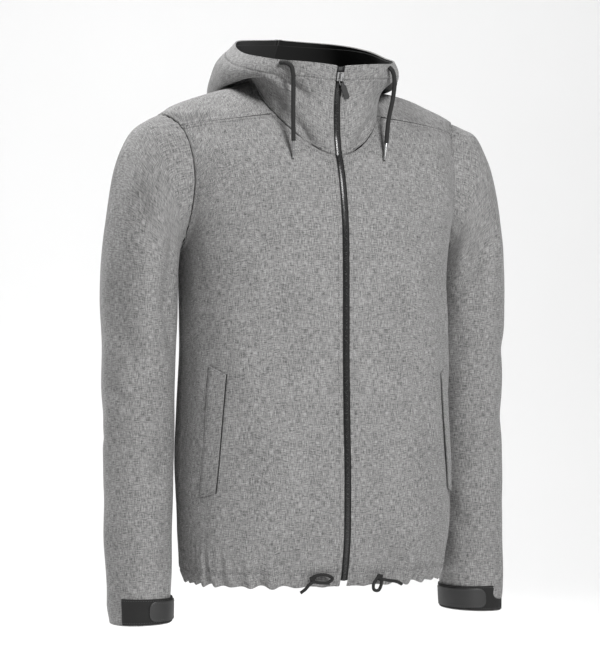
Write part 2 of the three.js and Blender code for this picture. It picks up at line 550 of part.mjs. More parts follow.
// Joins closed geometries into one closed body
function toSolid(geometry) {
  const bare = new THREE.BufferGeometry();
  bare.setAttribute("position", geometry.getAttribute("position"));
  bare.setIndex(geometry.index);
  const merged = mergeVertices(bare, 1e-4);
  return new wasm.Manifold(new wasm.Mesh({
    numProp: 3,
    vertProperties: new Float32Array(merged.getAttribute("position").array),
    triVerts: new Uint32Array(merged.index.array),
  }));
}
function fromSolid(solid) {
  const mesh = solid.getMesh();
  const geometry = new THREE.BufferGeometry();
  geometry.setAttribute("position", new THREE.BufferAttribute(new Float32Array(mesh.vertProperties), 3));
  geometry.setIndex(new THREE.BufferAttribute(new Uint32Array(mesh.triVerts), 1));
  return geometry;
}
const joined = (geometries) => fromSolid(wasm.Manifold.union(geometries.map(toSolid)));
const boxAt = (w, d, h, x, y, z) => new THREE.BoxGeometry(w, d, h).translate(x, y, z);

// Sew the cloth pieces. Right means the wearer's right (-X)
cloth("front_left", frontPanel());
cloth("front_right", mirror(frontPanel()));
cloth("back", [...flip(backPanel()), ...flip(mirror(backPanel()))]);
cloth("sleeve_right", sleeve(RIGHT_SLEEVE_FOLDS));
cloth("sleeve_left", mirror(sleeve(LEFT_SLEEVE_FOLDS)));
const LINING_WAYS = [...HOOD_WAYS.slice(1, -1), 0.985];
const sides = { right: { folds: mirroredFolds(COLLAR_FOLDS), turn: mirror }, left: { folds: COLLAR_FOLDS, turn: (t) => t } };
Object.entries(sides).forEach(([side, { folds, turn }]) => {
  cloth(`hood_${side}`, turn(hoodPatch(folds, HOOD_COLUMN_TURNS, HOOD_WAYS, 0)));
  cloth(`hood_lining_${side}`, turn(hoodPatch(folds, HOOD_COLUMN_TURNS.slice(1), LINING_WAYS, -WALL - 0.7)), "lining", LINING_WALL);
  cloth(`zip_tape_${side}`, turn(patch(zipStrip([ZIP.tapeFrom, ZIP.edge, ZIP.tapeTo], -UNDER, folds))), "black_tape", ZIP.tapeWall);
});
cloth("zip_chain", patch(zipStrip([-ZIP.chainHalf, 0, ZIP.chainHalf], ZIP.chainLift, [])), "black_tape", ZIP.chainWall);

// Slider: a plate in front of the chain with a flange down each side of it, and a bridge for the pull's link
const sliderAt = hoodVertex([], 0, ZIP.sliderWay, 0);
const sliderUp = hoodVertex([], 0, ZIP.sliderWay + 0.03, 0).p.sub(hoodVertex([], 0, ZIP.sliderWay - 0.03, 0).p).normalize();
const zipHead = new THREE.Group();
zipHead.position.copy(sliderAt.p);
zipHead.rotation.x = Math.atan2(-sliderUp.y, sliderUp.z);
jacket.add(zipHead);
const addTo = (group, name, geometry, colour) => group.add(addPiece(name, geometry, colour));
const plateY = -SLIDER.front - SLIDER.wall / 2;
const flangeY = -SLIDER.front + SLIDER.flangeDepth / 2 - SLIDER.wall;
const bridgeY = -SLIDER.front - SLIDER.wall - SLIDER.bridgeRise + SLIDER.bridgeWall / 2;
const postY = -SLIDER.front - SLIDER.wall / 2 - SLIDER.bridgeRise / 2;
const sliderParts = [boxAt(SLIDER.width, SLIDER.wall, SLIDER.length, 0, plateY, 0)];
[-1, 1].forEach((side) => {
  sliderParts.push(boxAt(0.9, SLIDER.flangeDepth, SLIDER.length - 2, side * (SLIDER.width / 2 - 0.45), flangeY, 0));
  sliderParts.push(boxAt(SLIDER.bridgeWidth, SLIDER.bridgeRise, 1.3, 0, postY, side * (SLIDER.length / 2 - 1.6)));
});
sliderParts.push(boxAt(SLIDER.bridgeWidth, SLIDER.bridgeWall, SLIDER.length - 1.9, 0, bridgeY, 0));
addTo(zipHead, "zip_slider", joined(sliderParts), "metal");

// Pull: a wire link whose top bar lies under the bridge, and a moulded tab round the link's lower bar
const pull = new THREE.Group();
pull.position.set(0, -SLIDER.front - SLIDER.wall - 1.35, -2.4);
pull.rotation.y = -PULL.askew * RAD;
zipHead.add(pull);
const linkParts = [0, -PULL.linkLength].map((z) =>
  new THREE.CylinderGeometry(PULL.wire, PULL.wire, 2 * PULL.linkHalf + 2 * PULL.wire, 8).rotateZ(Math.PI / 2).translate(0, 0, z));
[-1, 1].forEach((side) => linkParts.push(
  new THREE.CylinderGeometry(PULL.wire, PULL.wire, PULL.linkLength, 8).translate(0, -PULL.linkLength / 2, 0)
    .rotateX(Math.PI / 2).translate(side * PULL.linkHalf, 0, 0)));
addTo(pull, "zip_link", joined(linkParts), "metal");
const tab = new THREE.Shape();
const [half, top, low] = [PULL.tabWidth / 2, 1.9, -PULL.tabLength];
tab.moveTo(-2.1, top);
tab.lineTo(2.1, top);
tab.lineTo(2.1, -1.6);
tab.lineTo(half, -4);
tab.lineTo(half, low + 2);
tab.quadraticCurveTo(half, low, half - 2, low);
tab.lineTo(2 - half, low);
tab.quadraticCurveTo(-half, low, -half, low + 2);
tab.lineTo(-half, -4);
tab.lineTo(-2.1, -1.6);
tab.closePath();
const tabGeometry = new THREE.ExtrudeGeometry(tab, { depth: PULL.tabWall, bevelEnabled: false, curveSegments: 4 })
  .translate(0, 0, -PULL.tabWall / 2).rotateX(Math.PI / 2).translate(0, 0, -PULL.linkLength);
const channel = boxAt(9, 1.6, 1.8, 0, 0, -PULL.linkLength);
addTo(pull, "zip_pull", fromSolid(toSolid(tabGeometry).subtract(toSolid(channel))), "rubber");

// Hood drawcords with their tips
Object.entries(HOOD_CORDS).forEach(([side, { exitTurn, path }]) => {
  const exit = hoodVertex(COLLAR_FOLDS, exitTurn, CORD_EXIT_WAY, CORD.radius + 0.12);
  const points = [(side === "right" ? mirrorVertex(exit) : exit).p.toArray(), ...path];
  addPiece(`hood_cord_${side}`, tube(points, CORD.radius, CORD.sides, 16), "black_tape");
  const [end, before] = [new THREE.Vector3(...points.at(-1)), new THREE.Vector3(...points.at(-2))];
  const down = end.clone().sub(before).normalize();
  const tip = [CORD.tipGap, CORD.tipLength * 0.5, CORD.tipLength].map((t) => end.clone().addScaledVector(down, t).toArray());
  addPiece(`cord_tip_${side}`, tube(tip, CORD.tipRadius, 10, 2, CORD.tipRadius * 0.85), "clear_tip");
});

// Hem drawcord ends, each a knot with a loop and a tail, on the front of the hem
Object.entries(HEM_KNOTS).forEach(([side, [x, z]]) => {
  const turn = turnAtX(Math.abs(x), z, true);
  const on = bodyVertex([turn, z], 0);
  const y = on.p.y - 0.9 * HEM_CORD.knotRadius - 0.75;
  const route = HEM_ROUTES[side].map(([px, py, pz]) => [x + px, y + py, z + pz]);
  const knot = new THREE.SphereGeometry(HEM_CORD.knotRadius, 9, 6).scale(1, 0.9, 1.1).translate(x, y, z);
  addPiece(`hem_cord_${side}`, joined([knot, tube(route, HEM_CORD.radius, HEM_CORD.sides, 28)]), "black_tape");
});

// Hand pocket welts: a strip beside each slanted opening, on the side towards the side seam
function turnAside(from, z, distance) {
  const start = bodyBase(from, z);
  let [low, high] = [from - 40, from];
  for (let i = 0; i < 30; i++) {
    const turn = (low + high) / 2;
    if (bodyBase(turn, z).distanceTo(start) < distance) high = turn;
    else low = turn;
  }
  return low;
}
function weltPatch() {
  const rows = rowsBetween(0, 1, 8).map((t) => {
    const z = mix(POCKET.bottomZ, POCKET.topZ, t);
    const inner = turnAtX(mix(POCKET.openBottomX, POCKET.openTopX, t), z, true);
    return rowsBetween(0, 1, 3).map((across) => {
      const height = z + across * mix(-POCKET.bottomRise, POCKET.topRise, t);
      return bodyVertex([turnAside(inner, z, POCKET.width * across + 0.01), height], POCKET.wall + 0.3);
    });
  });
  return patch(rows);
}
cloth("welt_left", weltPatch(), "melange", POCKET.wall);
cloth("welt_right", mirror(weltPatch()), "melange", POCKET.wall);

// Cuffs: a band round most of the sleeve's end, and a tab over the band's end
const CUFF_STEPS = [SLEEVE_RINGS.length - 1, SLEEVE_RINGS.length - 0.04];
const turnsWithin = ([from, to]) => [...SLEEVE_TURNS.filter((turn) => turn > from + 2 && turn < to - 2), from];
function cuffBand(folds) {
  const turns = [CUFF.bandTurns[1], ...turnsWithin(CUFF.bandTurns)];
  return patch(sleeveRows(folds, CUFF_STEPS, turns, CUFF.bandWall + 0.3));
}
function cuffTab(folds) {
  const lift = CUFF.bandWall + CUFF.tabWall + 0.7;
  const [from, to] = CUFF.tabTurns;
  const turns = [to, ...turnsWithin([from + CUFF.tabRound, to]), from + 9, from + 4, from + 1, from];
  const half = (CUFF_STEPS[1] - CUFF_STEPS[0]) / 2 - CUFF.tabInset / 34;
  const middle = (CUFF_STEPS[0] + CUFF_STEPS[1]) / 2;
  return patch([-1, 1].map((end) => turns.map((turn) => {
    const t = clamp01((turn - from) / CUFF.tabRound);
    const reach = half * (0.45 + 0.55 * Math.sqrt(1 - (1 - t) ** 2));
    return sleeveVertex(folds, turn, middle + end * reach, lift);
  })));
}
Object.entries({ right: RIGHT_SLEEVE_FOLDS, left: LEFT_SLEEVE_FOLDS }).forEach(([side, folds]) => {
  const turn = side === "right" ? (t) => t : mirror;
  cloth(`cuff_band_${side}`, turn(cuffBand(folds)), "black_tape", CUFF.bandWall);
  cloth(`cuff_tab_${side}`, turn(cuffTab(folds)), "rubber", CUFF.tabWall);
});

export default jacket;
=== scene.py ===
"""A zipped softshell jacket with a lowered hood, dressed in cloth, zip, cords and stitching over its solids."""

import logging
import math
from dataclasses import dataclass, field
from enum import Enum
from typing import Any, Callable, Iterable, Sequence

import bpy
import numpy as np
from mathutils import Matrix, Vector


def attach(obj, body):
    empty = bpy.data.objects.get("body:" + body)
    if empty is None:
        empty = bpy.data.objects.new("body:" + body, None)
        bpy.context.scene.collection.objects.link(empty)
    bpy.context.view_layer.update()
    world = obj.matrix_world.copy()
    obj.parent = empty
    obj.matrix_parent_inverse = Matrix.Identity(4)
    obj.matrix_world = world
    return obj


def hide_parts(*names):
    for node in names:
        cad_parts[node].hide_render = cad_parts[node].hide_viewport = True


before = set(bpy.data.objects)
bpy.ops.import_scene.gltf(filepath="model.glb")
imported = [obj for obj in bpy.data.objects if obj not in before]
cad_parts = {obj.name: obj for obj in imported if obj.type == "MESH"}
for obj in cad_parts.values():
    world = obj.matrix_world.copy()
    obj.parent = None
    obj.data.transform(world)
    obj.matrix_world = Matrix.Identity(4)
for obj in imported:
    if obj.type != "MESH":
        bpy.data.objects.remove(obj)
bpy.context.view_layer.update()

log = logging.getLogger("jacket")
Array = np.ndarray
Triple = tuple[float, float, float]

MM = 0.001
WALL = 1.8  # millimetres, as are the sizes and tables below
LINING_WALL = 1.0
SEAM = 0.36
UNDER = WALL + 0.8
HEM_Z = -666.0
NECK = {"half": 84.0, "front": -128.0, "back": 52.0}
ARMHOLE = {"mid_y": 2.0, "mid_z": -121.0, "front": 86.0, "back": 62.0, "rise": 94.0}
SHOULDER_NECK_TURN, SHOULDER_ARM_TURN, NAPE_TURN = 63.0, 38.0, 106.0
ZIP_EDGE = 5.0
GATHERS = {"reach": 58.0, "depth": 3.4, "drop": 1.6, "turns_per_half": 17.0, "beat_turns": 5.0}
JACKET, PULL_BODY = "jacket", "zip_pull"

# z, half width, front, back, the side's place and how square the section is
BODY_RINGS = np.array([
    (-670, 177, -143, 90, -30, 2.3), (-640, 186, -153, 96, -30, 2.3), (-590, 192, -161, 98, -30, 2.35),
    (-520, 193, -162, 95, -30, 2.4), (-430, 190, -158, 90, -30, 2.4), (-340, 187, -156, 90, -30, 2.45),
    (-260, 187, -156, 96, -28, 2.5), (-200, 193, -155, 103, -24, 2.6), (-150, 201, -149, 106, -18, 2.7),
    (-100, 209, -135, 102, -10, 2.7), (-60, 215, -111, 91, -2, 2.6), (-30, 214, -84, 76, 2, 2.5),
    (-19, 200, -71, 66, 3, 2.5), (-6, 170, -57, 56, 4, 2.5), (5, 140, -45, 47, 5, 2.5),
    (14, 110, -34, 38, 5, 2.5), (24, 80, -24, 30, 5, 2.5), (40, 12, -2, 12, 5, 2.5),
], float)
# tilt, inner edge x and z, length outward, front and back reach, middle y and how square the section is
SLEEVE_RINGS = np.array([
    (75, 193.5, -218, 185, 83, 65, 1, 2.2), (65, 194, -221, 163, 82, 68, 0, 2.2),
    (50, 194, -225, 131, 81, 70, 0, 2.2), (35, 194, -231, 112, 79, 71, 0, 2.2),
    (18, 194, -240, 101, 77, 71, 0, 2.2), (5, 194, -256, 98.5, 74, 69, 0, 2.2),
    (0, 194.5, -290, 98, 70, 66, 1, 2.2), (0, 195, -350, 97, 65, 62, 3, 2.2),
    (0, 196, -420, 96, 60, 60, 4, 2.2), (0, 198, -500, 94, 56, 57, 2, 2.2),
    (0, 200.5, -580, 91, 53, 54, -3, 2.2), (0, 202, -640, 87.5, 51, 51, -8, 2.2),
    (0, 203, -683, 84, 49, 49, -11, 2.2), (-2, 204, -717, 82, 48.5, 48.5, -13, 2.2),
], float)
HOOD_TURNS = np.array([0, 45, 68, 90, 120, 150, 180], float)
# one row for each turn above: how far out from the neck seam, then how high, from neck to edge
HOOD_OUT = np.array([
    (0, -6, -8, -8, -5, 0, 4, 9), (0, 3, 8, 13, 18, 22, 24, 24), (0, 5, 12, 20, 27, 30, 28, 24),
    (0, 7, 15, 25, 34, 37, 32, 22), (0, 9, 22, 39, 53, 60, 50, 29), (0, 12, 30, 60, 84, 106, 92, 50),
    (0, 12, 30, 62, 86, 118, 108, 64),
], float)
HOOD_UP = np.array([
    (0, -62, -38, -20, -4, 10, 22, 33), (0, -26, -6, 6, 15, 24, 32, 41), (0, 8, 22, 20, 21, 29, 40, 49),
    (0, 22, 31, 23, 17, 30, 45, 58), (0, 30, 35, 19, 11, 30, 57, 76), (0, 33, 33, -18, -76, -34, 45, 90),
    (0, 36, 36, -48, -146, -76, 40, 97),
], float)


@dataclass(frozen=True)
class Fold:
    """A soft trough (depth above 0) or ridge along a straight run near the cloth, in millimetres."""

    start: Triple
    end: Triple
    width: float
    depth: float

    def mirrored(self) -> "Fold":
        """The same fold on the other side of the jacket."""
        return Fold((-self.start[0], *self.start[1:]), (-self.end[0], *self.end[1:]), self.width, self.depth)


CHEST_FOLDS = (
    Fold((-48, -118, -100), (-70, -130, -190), 14, 2.0), Fold((50, -118, -100), (74, -128, -200), 14, 2.0),
    Fold((-150, -120, -575), (-60, -160, -640), 16, 2.6), Fold((140, -125, -590), (70, -155, -645), 15, 2.6),
    Fold((-186, -60, -300), (-189, -70, -430), 18, 3.2), Fold((-80, 98, -560), (60, 100, -590), 22, 3.0),
    Fold((-150, 60, -350), (-40, 92, -420), 24, 3.0), Fold((150, 60, -330), (50, 92, -410), 24, 3.0),
)
COLLAR_FOLDS = (
    Fold((-88, -106, 26), (-40, -121, -8), 8, 4.5), Fold((-58, -112, -38), (-24, -128, -82), 8, 5),
    Fold((56, -112, -36), (20, -128, -80), 8, 5), Fold((78, -100, -10), (72, -104, -56), 8, 3.5),
    Fold((-80, -84, 4), (-64, -104, -40), 9, 3),
)
RIGHT_SLEEVE_FOLDS = (
    Fold((-256, -66, -150), (-207, -54, -335), 12, 15), Fold((-284, -30, -270), (-262, -62, -380), 16, 3.5),
    Fold((-205, -46, -520), (-250, -58, -470), 14, 4), Fold((-290, 20, -430), (-262, 60, -520), 16, 4),
    Fold((-212, 40, -400), (-250, 62, -450), 16, 4), Fold((-214, 50, -250), (-270, 58, -330), 18, 6),
)
LEFT_SLEEVE_FOLDS = (
    Fold((-240, -72, -165), (-222, -70, -245), 13, 6), Fold((-252, -70, -196), (-212, -58, -262), 10, 9),
    Fold((-290, -20, -330), (-245, -62, -400), 16, 4.5), Fold((-286, -24, -440), (-250, -58, -500), 15, 4),
    Fold((-205, -30, -560), (-235, -54, -630), 14, 3.5), Fold((-290, 24, -410), (-258, 60, -500), 16, 4),
    Fold((-214, 50, -250), (-270, 58, -330), 18, 6),
)
# finer creases that the solids leave out
RIGHT_CREASES = (
    Fold((-222, -78, -150), (-203, -58, -320), 10, 7), Fold((-212, -50, -480), (-240, -56, -540), 8, 3.5),
    Fold((-285, -30, -330), (-225, -60, -300), 9, 4), Fold((-292, -20, -400), (-250, -58, -440), 9, 3.5),
    Fold((-290, -10, -560), (-250, -50, -600), 9, 3), Fold((-215, -48, -640), (-270, -50, -665), 9, 3),
    Fold((-262, 40, -200), (-215, 56, -260), 10, 5), Fold((-290, 10, -470), (-262, 52, -430), 9, 3.5),
)
LEFT_CREASES = (
    Fold((-224, -76, -190), (-206, -66, -250), 7, 6), Fold((-262, -40, -343), (-238, -66, -399), 8, 4),
    Fold((-268, -36, -476), (-250, -56, -518), 8, 3.5), Fold((-290, -10, -560), (-240, -50, -590), 9, 3),
    Fold((-240, -74, -150), (-222, -70, -330), 12, 4), Fold((-262, 40, -200), (-215, 56, -260), 10, 5),
    Fold((-290, 10, -470), (-262, 52, -430), 9, 3.5),
)
COLLAR_CREASES = (
    Fold((-88, -104, 24), (-42, -120, -6), 4.5, 4.5), Fold((-58, -110, -38), (-32, -122, -80), 4.5, 4.5),
    Fold((54, -112, -36), (32, -122, -78), 4.5, 4.5), Fold((80, -98, -14), (78, -96, -66), 5, 4),
    Fold((-96, -84, 30), (-76, -92, -30), 7, 4),
)


class Side(Enum):
    """The wearer's right is -X and the wearer's left is +X."""

    RIGHT = "right"
    LEFT = "left"

    @property
    def sign(self) -> float:
        """-1 on the wearer's right, 1 on the wearer's left."""
        return -1.0 if self is Side.RIGHT else 1.0


# Form: the surfaces that the solids share


def smooth(v: Array | float) -> Array:
    """An eased step from 0 to 1."""
    c = np.clip(v, 0.0, 1.0)
    return c * c * (3 - 2 * c)


class Curve:
    """A smooth curve through one column of a table, with no overshoot between rows."""

    def __init__(self, at: Array, values: Array) -> None:
        """Fit the curve.

        Args:
            at: The rows' places, rising, of shape (rows,).
            values: The column's values, of shape (rows, ...).
        """
        self.at = np.asarray(at, float)
        self.values = np.asarray(values, float)
        steps = np.diff(self.at).reshape(-1, *([1] * (self.values.ndim - 1)))
        slopes = np.diff(self.values, axis=0) / steps
        a, b = slopes[:-1], slopes[1:]
        total = np.where(a + b == 0, 1.0, a + b)
        inner = np.where(a * b <= 0, 0.0, 2 * a * b / total)
        self.tangents = np.concatenate([slopes[:1], inner, slopes[-1:]])

    def __call__(self, x: Array | float) -> Array:
        """The curve's value at x, for a column of plain numbers."""
        x = np.asarray(x, float)
        i = np.clip(np.searchsorted(self.at, x, side="left") - 1, 0, len(self.at) - 2)
        width = self.at[i + 1] - self.at[i]
        t = np.clip((x - self.at[i]) / width, 0, 1)
        t2, t3 = t * t, t * t * t
        return ((2 * t3 - 3 * t2 + 1) * self.values[i] + (t3 - 2 * t2 + t) * width * self.tangents[i]
                + (3 * t2 - 2 * t3) * self.values[i + 1] + (t3 - t2) * width * self.tangents[i + 1])


def unit(v: Array) -> Array:
    """Vectors scaled to length 1."""
    return v / np.maximum(np.linalg.norm(v, axis=-1, keepdims=True), 1e-12)


def fold_depth(points: Array, folds: Iterable[Fold]) -> Array:
    """How far the cloth moves along its normal where folds run close by.

    Args:
        points: Points on the cloth, of shape (..., 3).
        folds: The folds.

    Returns:
        The movement in millimetres, of shape (...).
    """
    total = np.zeros(points.shape[:-1])
    for fold in folds:
        a, b = np.array(fold.start, float), np.array(fold.end, float)
        along = np.clip((points - a) @ (b - a) / ((b - a) @ (b - a)), 0, 1)
        side = np.linalg.norm(points - (a + along[..., None] * (b - a)), axis=-1) / fold.width
        total -= fold.depth * np.sin(np.pi * (0.12 + 0.76 * along)) * np.exp(-side * side)
    return total


def between(p0: Array, p1: Array, p2: Array, p3: Array, t: Array) -> Array:
    """The point at share t from p1 to p2 on a centripetal spline through four points."""
    pairs = ((p0, p1), (p1, p2), (p2, p3))
    d0, d1, d2 = (np.maximum(np.sum((b - a) ** 2, -1, keepdims=True) ** 0.25, 1e-4) for a, b in pairs)
    m1 = ((p1 - p0) / d0 - (p2 - p0) / (d0 + d1) + (p2 - p1) / d1) * d1
    m2 = ((p2 - p1) / d1 - (p3 - p1) / (d1 + d2) + (p3 - p2) / d2) * d1
    return p1 + m1 * t + (-3 * p1 + 3 * p2 - 2 * m1 - m2) * t * t + (2 * p1 - 2 * p2 + m1 + m2) * t**3


Surface = Callable[[Array, Array], Array]


def normal_of(surface: Surface, u: Array, v: Array, du: float, dv: float) -> Array:
    """A surface's normals, from small steps to either side."""
    a = surface(u + du, v) - surface(u - du, v)
    b = surface(u, v + dv) - surface(u, v - dv)
    return unit(np.cross(a, b))


class BodyForm:
    """The body of the jacket by turn (0 at the centre back, 90 at the side, 180 at the zip) and height."""

    def __init__(self) -> None:
        """Fit the section table."""
        z = BODY_RINGS[:, 0]
        self.half, self.front, self.back, self.mid, self.square = (Curve(z, BODY_RINGS[:, i]) for i in range(1, 6))

    def depth(self, z: Array, to_back: Array) -> Array:
        """How far the section reaches from its middle to the back or the front."""
        return np.where(to_back, self.back(z) - self.mid(z), self.mid(z) - self.front(z))

    def base(self, turn: Array, z: Array) -> Array:
        """Points on the plain form."""
        s, c = np.sin(np.radians(turn)), np.cos(np.radians(turn))
        n = self.square(z)
        k = (np.abs(s) ** n + np.abs(c) ** n) ** (-1 / n)
        return np.stack([self.half(z) * k * s, self.mid(z) + self.depth(z, c >= 0) * k * c, z + 0 * turn], -1)

    def gather(self, turn: Array, z: Array) -> Array:
        """The uneven waves of the gathered hem, from -1 to 1."""
        share = smooth((180 - turn - 5.5) / 5) * smooth((HEM_Z + GATHERS["reach"] - z) / GATHERS["reach"])
        uneven = 0.62 + 0.38 * np.sin(GATHERS["beat_turns"] * 2 * np.radians(turn) + 1.1)
        phase = 2 * GATHERS["turns_per_half"] * np.radians(turn + 2.2 * np.sin(3 * np.radians(turn)))
        return share * uneven * np.sin(phase)

    def surface(self, turn: Array, z: Array) -> Array:
        """Points on the form with its gathers and large folds."""
        turn, z = np.broadcast_arrays(np.asarray(turn, float), np.asarray(z, float))
        base = self.base(turn, z)
        out = normal_of(self.base, turn, z, 0.4, -0.8)
        wave = self.gather(turn, z)
        base[..., 2] -= GATHERS["drop"] * wave * smooth((HEM_Z + 24 - z) / 24)
        return base + out * (GATHERS["depth"] * wave + fold_depth(base, CHEST_FOLDS))[..., None]

    def turn_at_x(self, x: float, z: Array) -> Array:
        """The turn on the front where the section has that distance from the middle plane."""
        n = self.square(z)
        s = np.minimum(1, abs(x) / self.half(z))
        return 180 - np.degrees(np.arctan2(s, (1 - s**n) ** (1 / n)))

    def turn_at_y(self, y: Array, z: Array) -> Array:
        """The turn where the section has that y."""
        n = self.square(z)
        c = np.minimum(1, np.abs(y - self.mid(z)) / self.depth(z, y >= self.mid(z)))
        turn = np.degrees(np.arctan2((1 - c**n) ** (1 / n), c))
        return np.where(y >= self.mid(z), turn, 180 - turn)

    def height_over(self, x: Array, y: Array) -> Array:
        """The form's height over points of the plan, near the neck."""
        low, high = np.full(np.shape(x), -110.0), np.full(np.shape(x), 39.0)
        for _ in range(40):
            z = (low + high) / 2
            n = self.square(z)
            deep = np.abs(y - self.mid(z)) / self.depth(z, y >= self.mid(z))
            outside = (np.abs(x) / self.half(z)) ** n + deep**n > 1
            high = np.where(outside, z, high)
            low = np.where(outside, low, z)
        return low

    def neck_seam(self, turn: Array) -> Array:
        """Turn and height on the body of points of the neck seam, which is turned from the zip to the nape."""
        x, y, z = neck_point(turn)
        deep = np.abs(y - self.mid(z)) / self.depth(z, y >= self.mid(z))
        angle = np.degrees(np.arctan2(np.abs(x) / self.half(z), deep))
        return np.stack([np.where(y >= self.mid(z), angle, 180 - angle), z - 0.5 * SEAM], -1)

    def arm_seam(self, turn: Array) -> Array:
        """Turn and height on the body of points of the armhole, turned from the shoulder to the front."""
        y, z = armhole_yz(turn, SEAM)
        return np.stack([self.turn_at_y(y, z), z], -1)


BODY = BodyForm()
NECK_MID = (NECK["front"] + NECK["back"]) / 2
NECK_DEPTH = (NECK["back"] - NECK["front"]) / 2


def neck_point(turn: Array) -> tuple[Array, Array, Array]:
    """The neck seam from above, with its height."""
    x = NECK["half"] * np.sin(np.radians(turn))
    y = NECK_MID - NECK_DEPTH * np.cos(np.radians(turn))
    return x, y, BODY.height_over(x, y)


def armhole_yz(turn: Array, grow: float = 0.0) -> tuple[Array, Array]:
    """The armhole from the side, larger all round by grow."""
    s = np.sin(np.radians(turn))
    reach = np.where(s >= 0, ARMHOLE["front"], ARMHOLE["back"])
    y = ARMHOLE["mid_y"] - (reach + grow) * s
    return y, ARMHOLE["mid_z"] + (ARMHOLE["rise"] + grow) * np.cos(np.radians(turn))


class SleeveForm:
    """The right sleeve by turn round it (0 on top, 90 in front) and step along its table of rings."""

    def __init__(self, folds: Sequence[Fold]) -> None:
        """Keep the sleeve's own folds."""
        self.folds = folds
        self.last_step = float(len(SLEEVE_RINGS))

    def base(self, turn: Array, step: Array) -> Array:
        """Points on the plain form; turn has one value for each column of the grid."""
        turn, step = np.broadcast_arrays(np.asarray(turn, float), np.asarray(step, float))
        flat_turn, where = np.unique(np.round(turn, 6), return_inverse=True)
        y, z = armhole_yz(flat_turn)
        hole = BODY.base(BODY.turn_at_y(y, z), z)
        stations = [np.stack([-hole[:, 0] - SEAM, y, z], -1)]
        s, c = np.sin(np.radians(flat_turn)), np.cos(np.radians(flat_turn))
        for tilt, inner_x, inner_z, length, front, back, mid_y, square in SLEEVE_RINGS:
            k = (np.abs(c) ** square + np.abs(s) ** square) ** (-1 / square)
            outward = length / 2 * (1 + c * k)
            lean = math.radians(tilt)
            reach = np.where(s >= 0, front, back) * s * k
            stations.append(np.stack([-inner_x - math.cos(lean) * outward, mid_y - reach,
                                      inner_z + math.sin(lean) * outward], -1))
        table = np.stack(stations)  # (steps, turns, 3)
        curve = Curve(np.arange(len(stations)), table)
        where = where.reshape(turn.shape)
        x = np.clip(step, 0, self.last_step)
        i = np.clip(np.ceil(x).astype(int) - 1, 0, len(stations) - 2)
        t = (x - i)[..., None]
        t2, t3 = t * t, t * t * t
        v, m = curve.values, curve.tangents
        return ((2 * t3 - 3 * t2 + 1) * v[i, where] + (t3 - 2 * t2 + t) * m[i, where]
                + (3 * t2 - 2 * t3) * v[i + 1, where] + (t3 - t2) * m[i + 1, where])

    def surface(self, turn: Array, step: Array) -> Array:
        """Points on the form with its folds."""
        turn, step = np.broadcast_arrays(np.asarray(turn, float), np.asarray(step, float))
        base = self.base(turn, step)
        out = normal_of(self.base, turn, step, -1.5, 0.04)
        return base + out * (fold_depth(base, self.folds) * smooth(step / 1.5))[..., None]


class HoodForm:
    """The hood and its stand by turn (0 at the zip, 180 at the centre back) and way from the neck seam to the edge."""

    def __init__(self, folds: Sequence[Fold] = ()) -> None:
        """Fit the paths."""
        self.folds = folds
        self.out = [Curve(HOOD_TURNS, HOOD_OUT[:, i]) for i in range(HOOD_OUT.shape[1])]
        self.up = [Curve(HOOD_TURNS, HOOD_UP[:, i]) for i in range(HOOD_UP.shape[1])]

    def base(self, turn: Array, way: Array) -> Array:
        """Points on the plain form, along centripetal splines through each path's points."""
        turn, way = np.broadcast_arrays(np.asarray(turn, float), np.asarray(way, float))
        x, y, z = neck_point(turn)
        u = np.stack([c(turn) for c in self.out])
        h = np.stack([z + 0.5 * SEAM, *[c(turn) for c in self.up[1:]]])
        pts = np.stack([u, h], -1)
        pts = np.concatenate([2 * pts[:1] - pts[1:2], pts, 2 * pts[-1:] - pts[-2:-1]])
        place = np.clip(way, 0, 1) * (len(pts) - 3)
        i = np.clip(place.astype(int), 0, len(pts) - 4)
        t = (place - i)[..., None]
        p0, p1, p2, p3 = (np.take_along_axis(pts, (i + k)[None, ..., None], 0)[0] for k in range(4))
        at = between(p0, p1, p2, p3, t)
        outward = unit(np.stack([x, y - NECK_MID], -1))
        return np.stack([x + outward[..., 0] * at[..., 0], y + outward[..., 1] * at[..., 0], at[..., 1]], -1)

    def surface(self, turn: Array, way: Array) -> Array:
        """Points on the form with its folds."""
        turn, way = np.broadcast_arrays(np.asarray(turn, float), np.asarray(way, float))
        base = self.base(turn, way)
        inside = np.clip(way, 0.006, 0.994)
        out = normal_of(self.base, turn, inside, 0.6, 0.006)
        return base + out * fold_depth(base, self.folds)[..., None]


# Shader maths


class Socket:
    """A shader socket that takes part in Python expressions, each of which adds its Math node."""

    def __init__(self, shader: "Shader", out: Any) -> None:
        """Wrap an output socket."""
        self.shader, self.out = shader, out

    def _math(self, operation: str, *values: Any) -> "Socket":
        return self.shader.node("ShaderNodeMath", {"operation": operation}, dict(enumerate(values)))

    def __add__(self, other: Any) -> "Socket":
        """Sum."""
        return self._math("ADD", self, other)

    def __mul__(self, other: Any) -> "Socket":
        """Product."""
        return self._math("MULTIPLY", self, other)

    def __sub__(self, other: Any) -> "Socket":
        """Difference."""
        return self._math("SUBTRACT", self, other)

    def __rsub__(self, other: Any) -> "Socket":
        """Difference with this socket taken away."""
        return self._math("SUBTRACT", other, self)

    __radd__, __rmul__ = __add__, __mul__

    def sine(self) -> "Socket":
        """Sine of the value in radians."""
        return self._math("SINE", self)

    def above(self, edge: float, softness: float) -> "Socket":
        """0 below the edge and 1 above it, with a soft step."""
        settings = {"interpolation_type": "SMOOTHSTEP"}
        return self.shader.node("ShaderNodeMapRange", settings, {0: self, 1: edge - softness, 2: edge + softness})


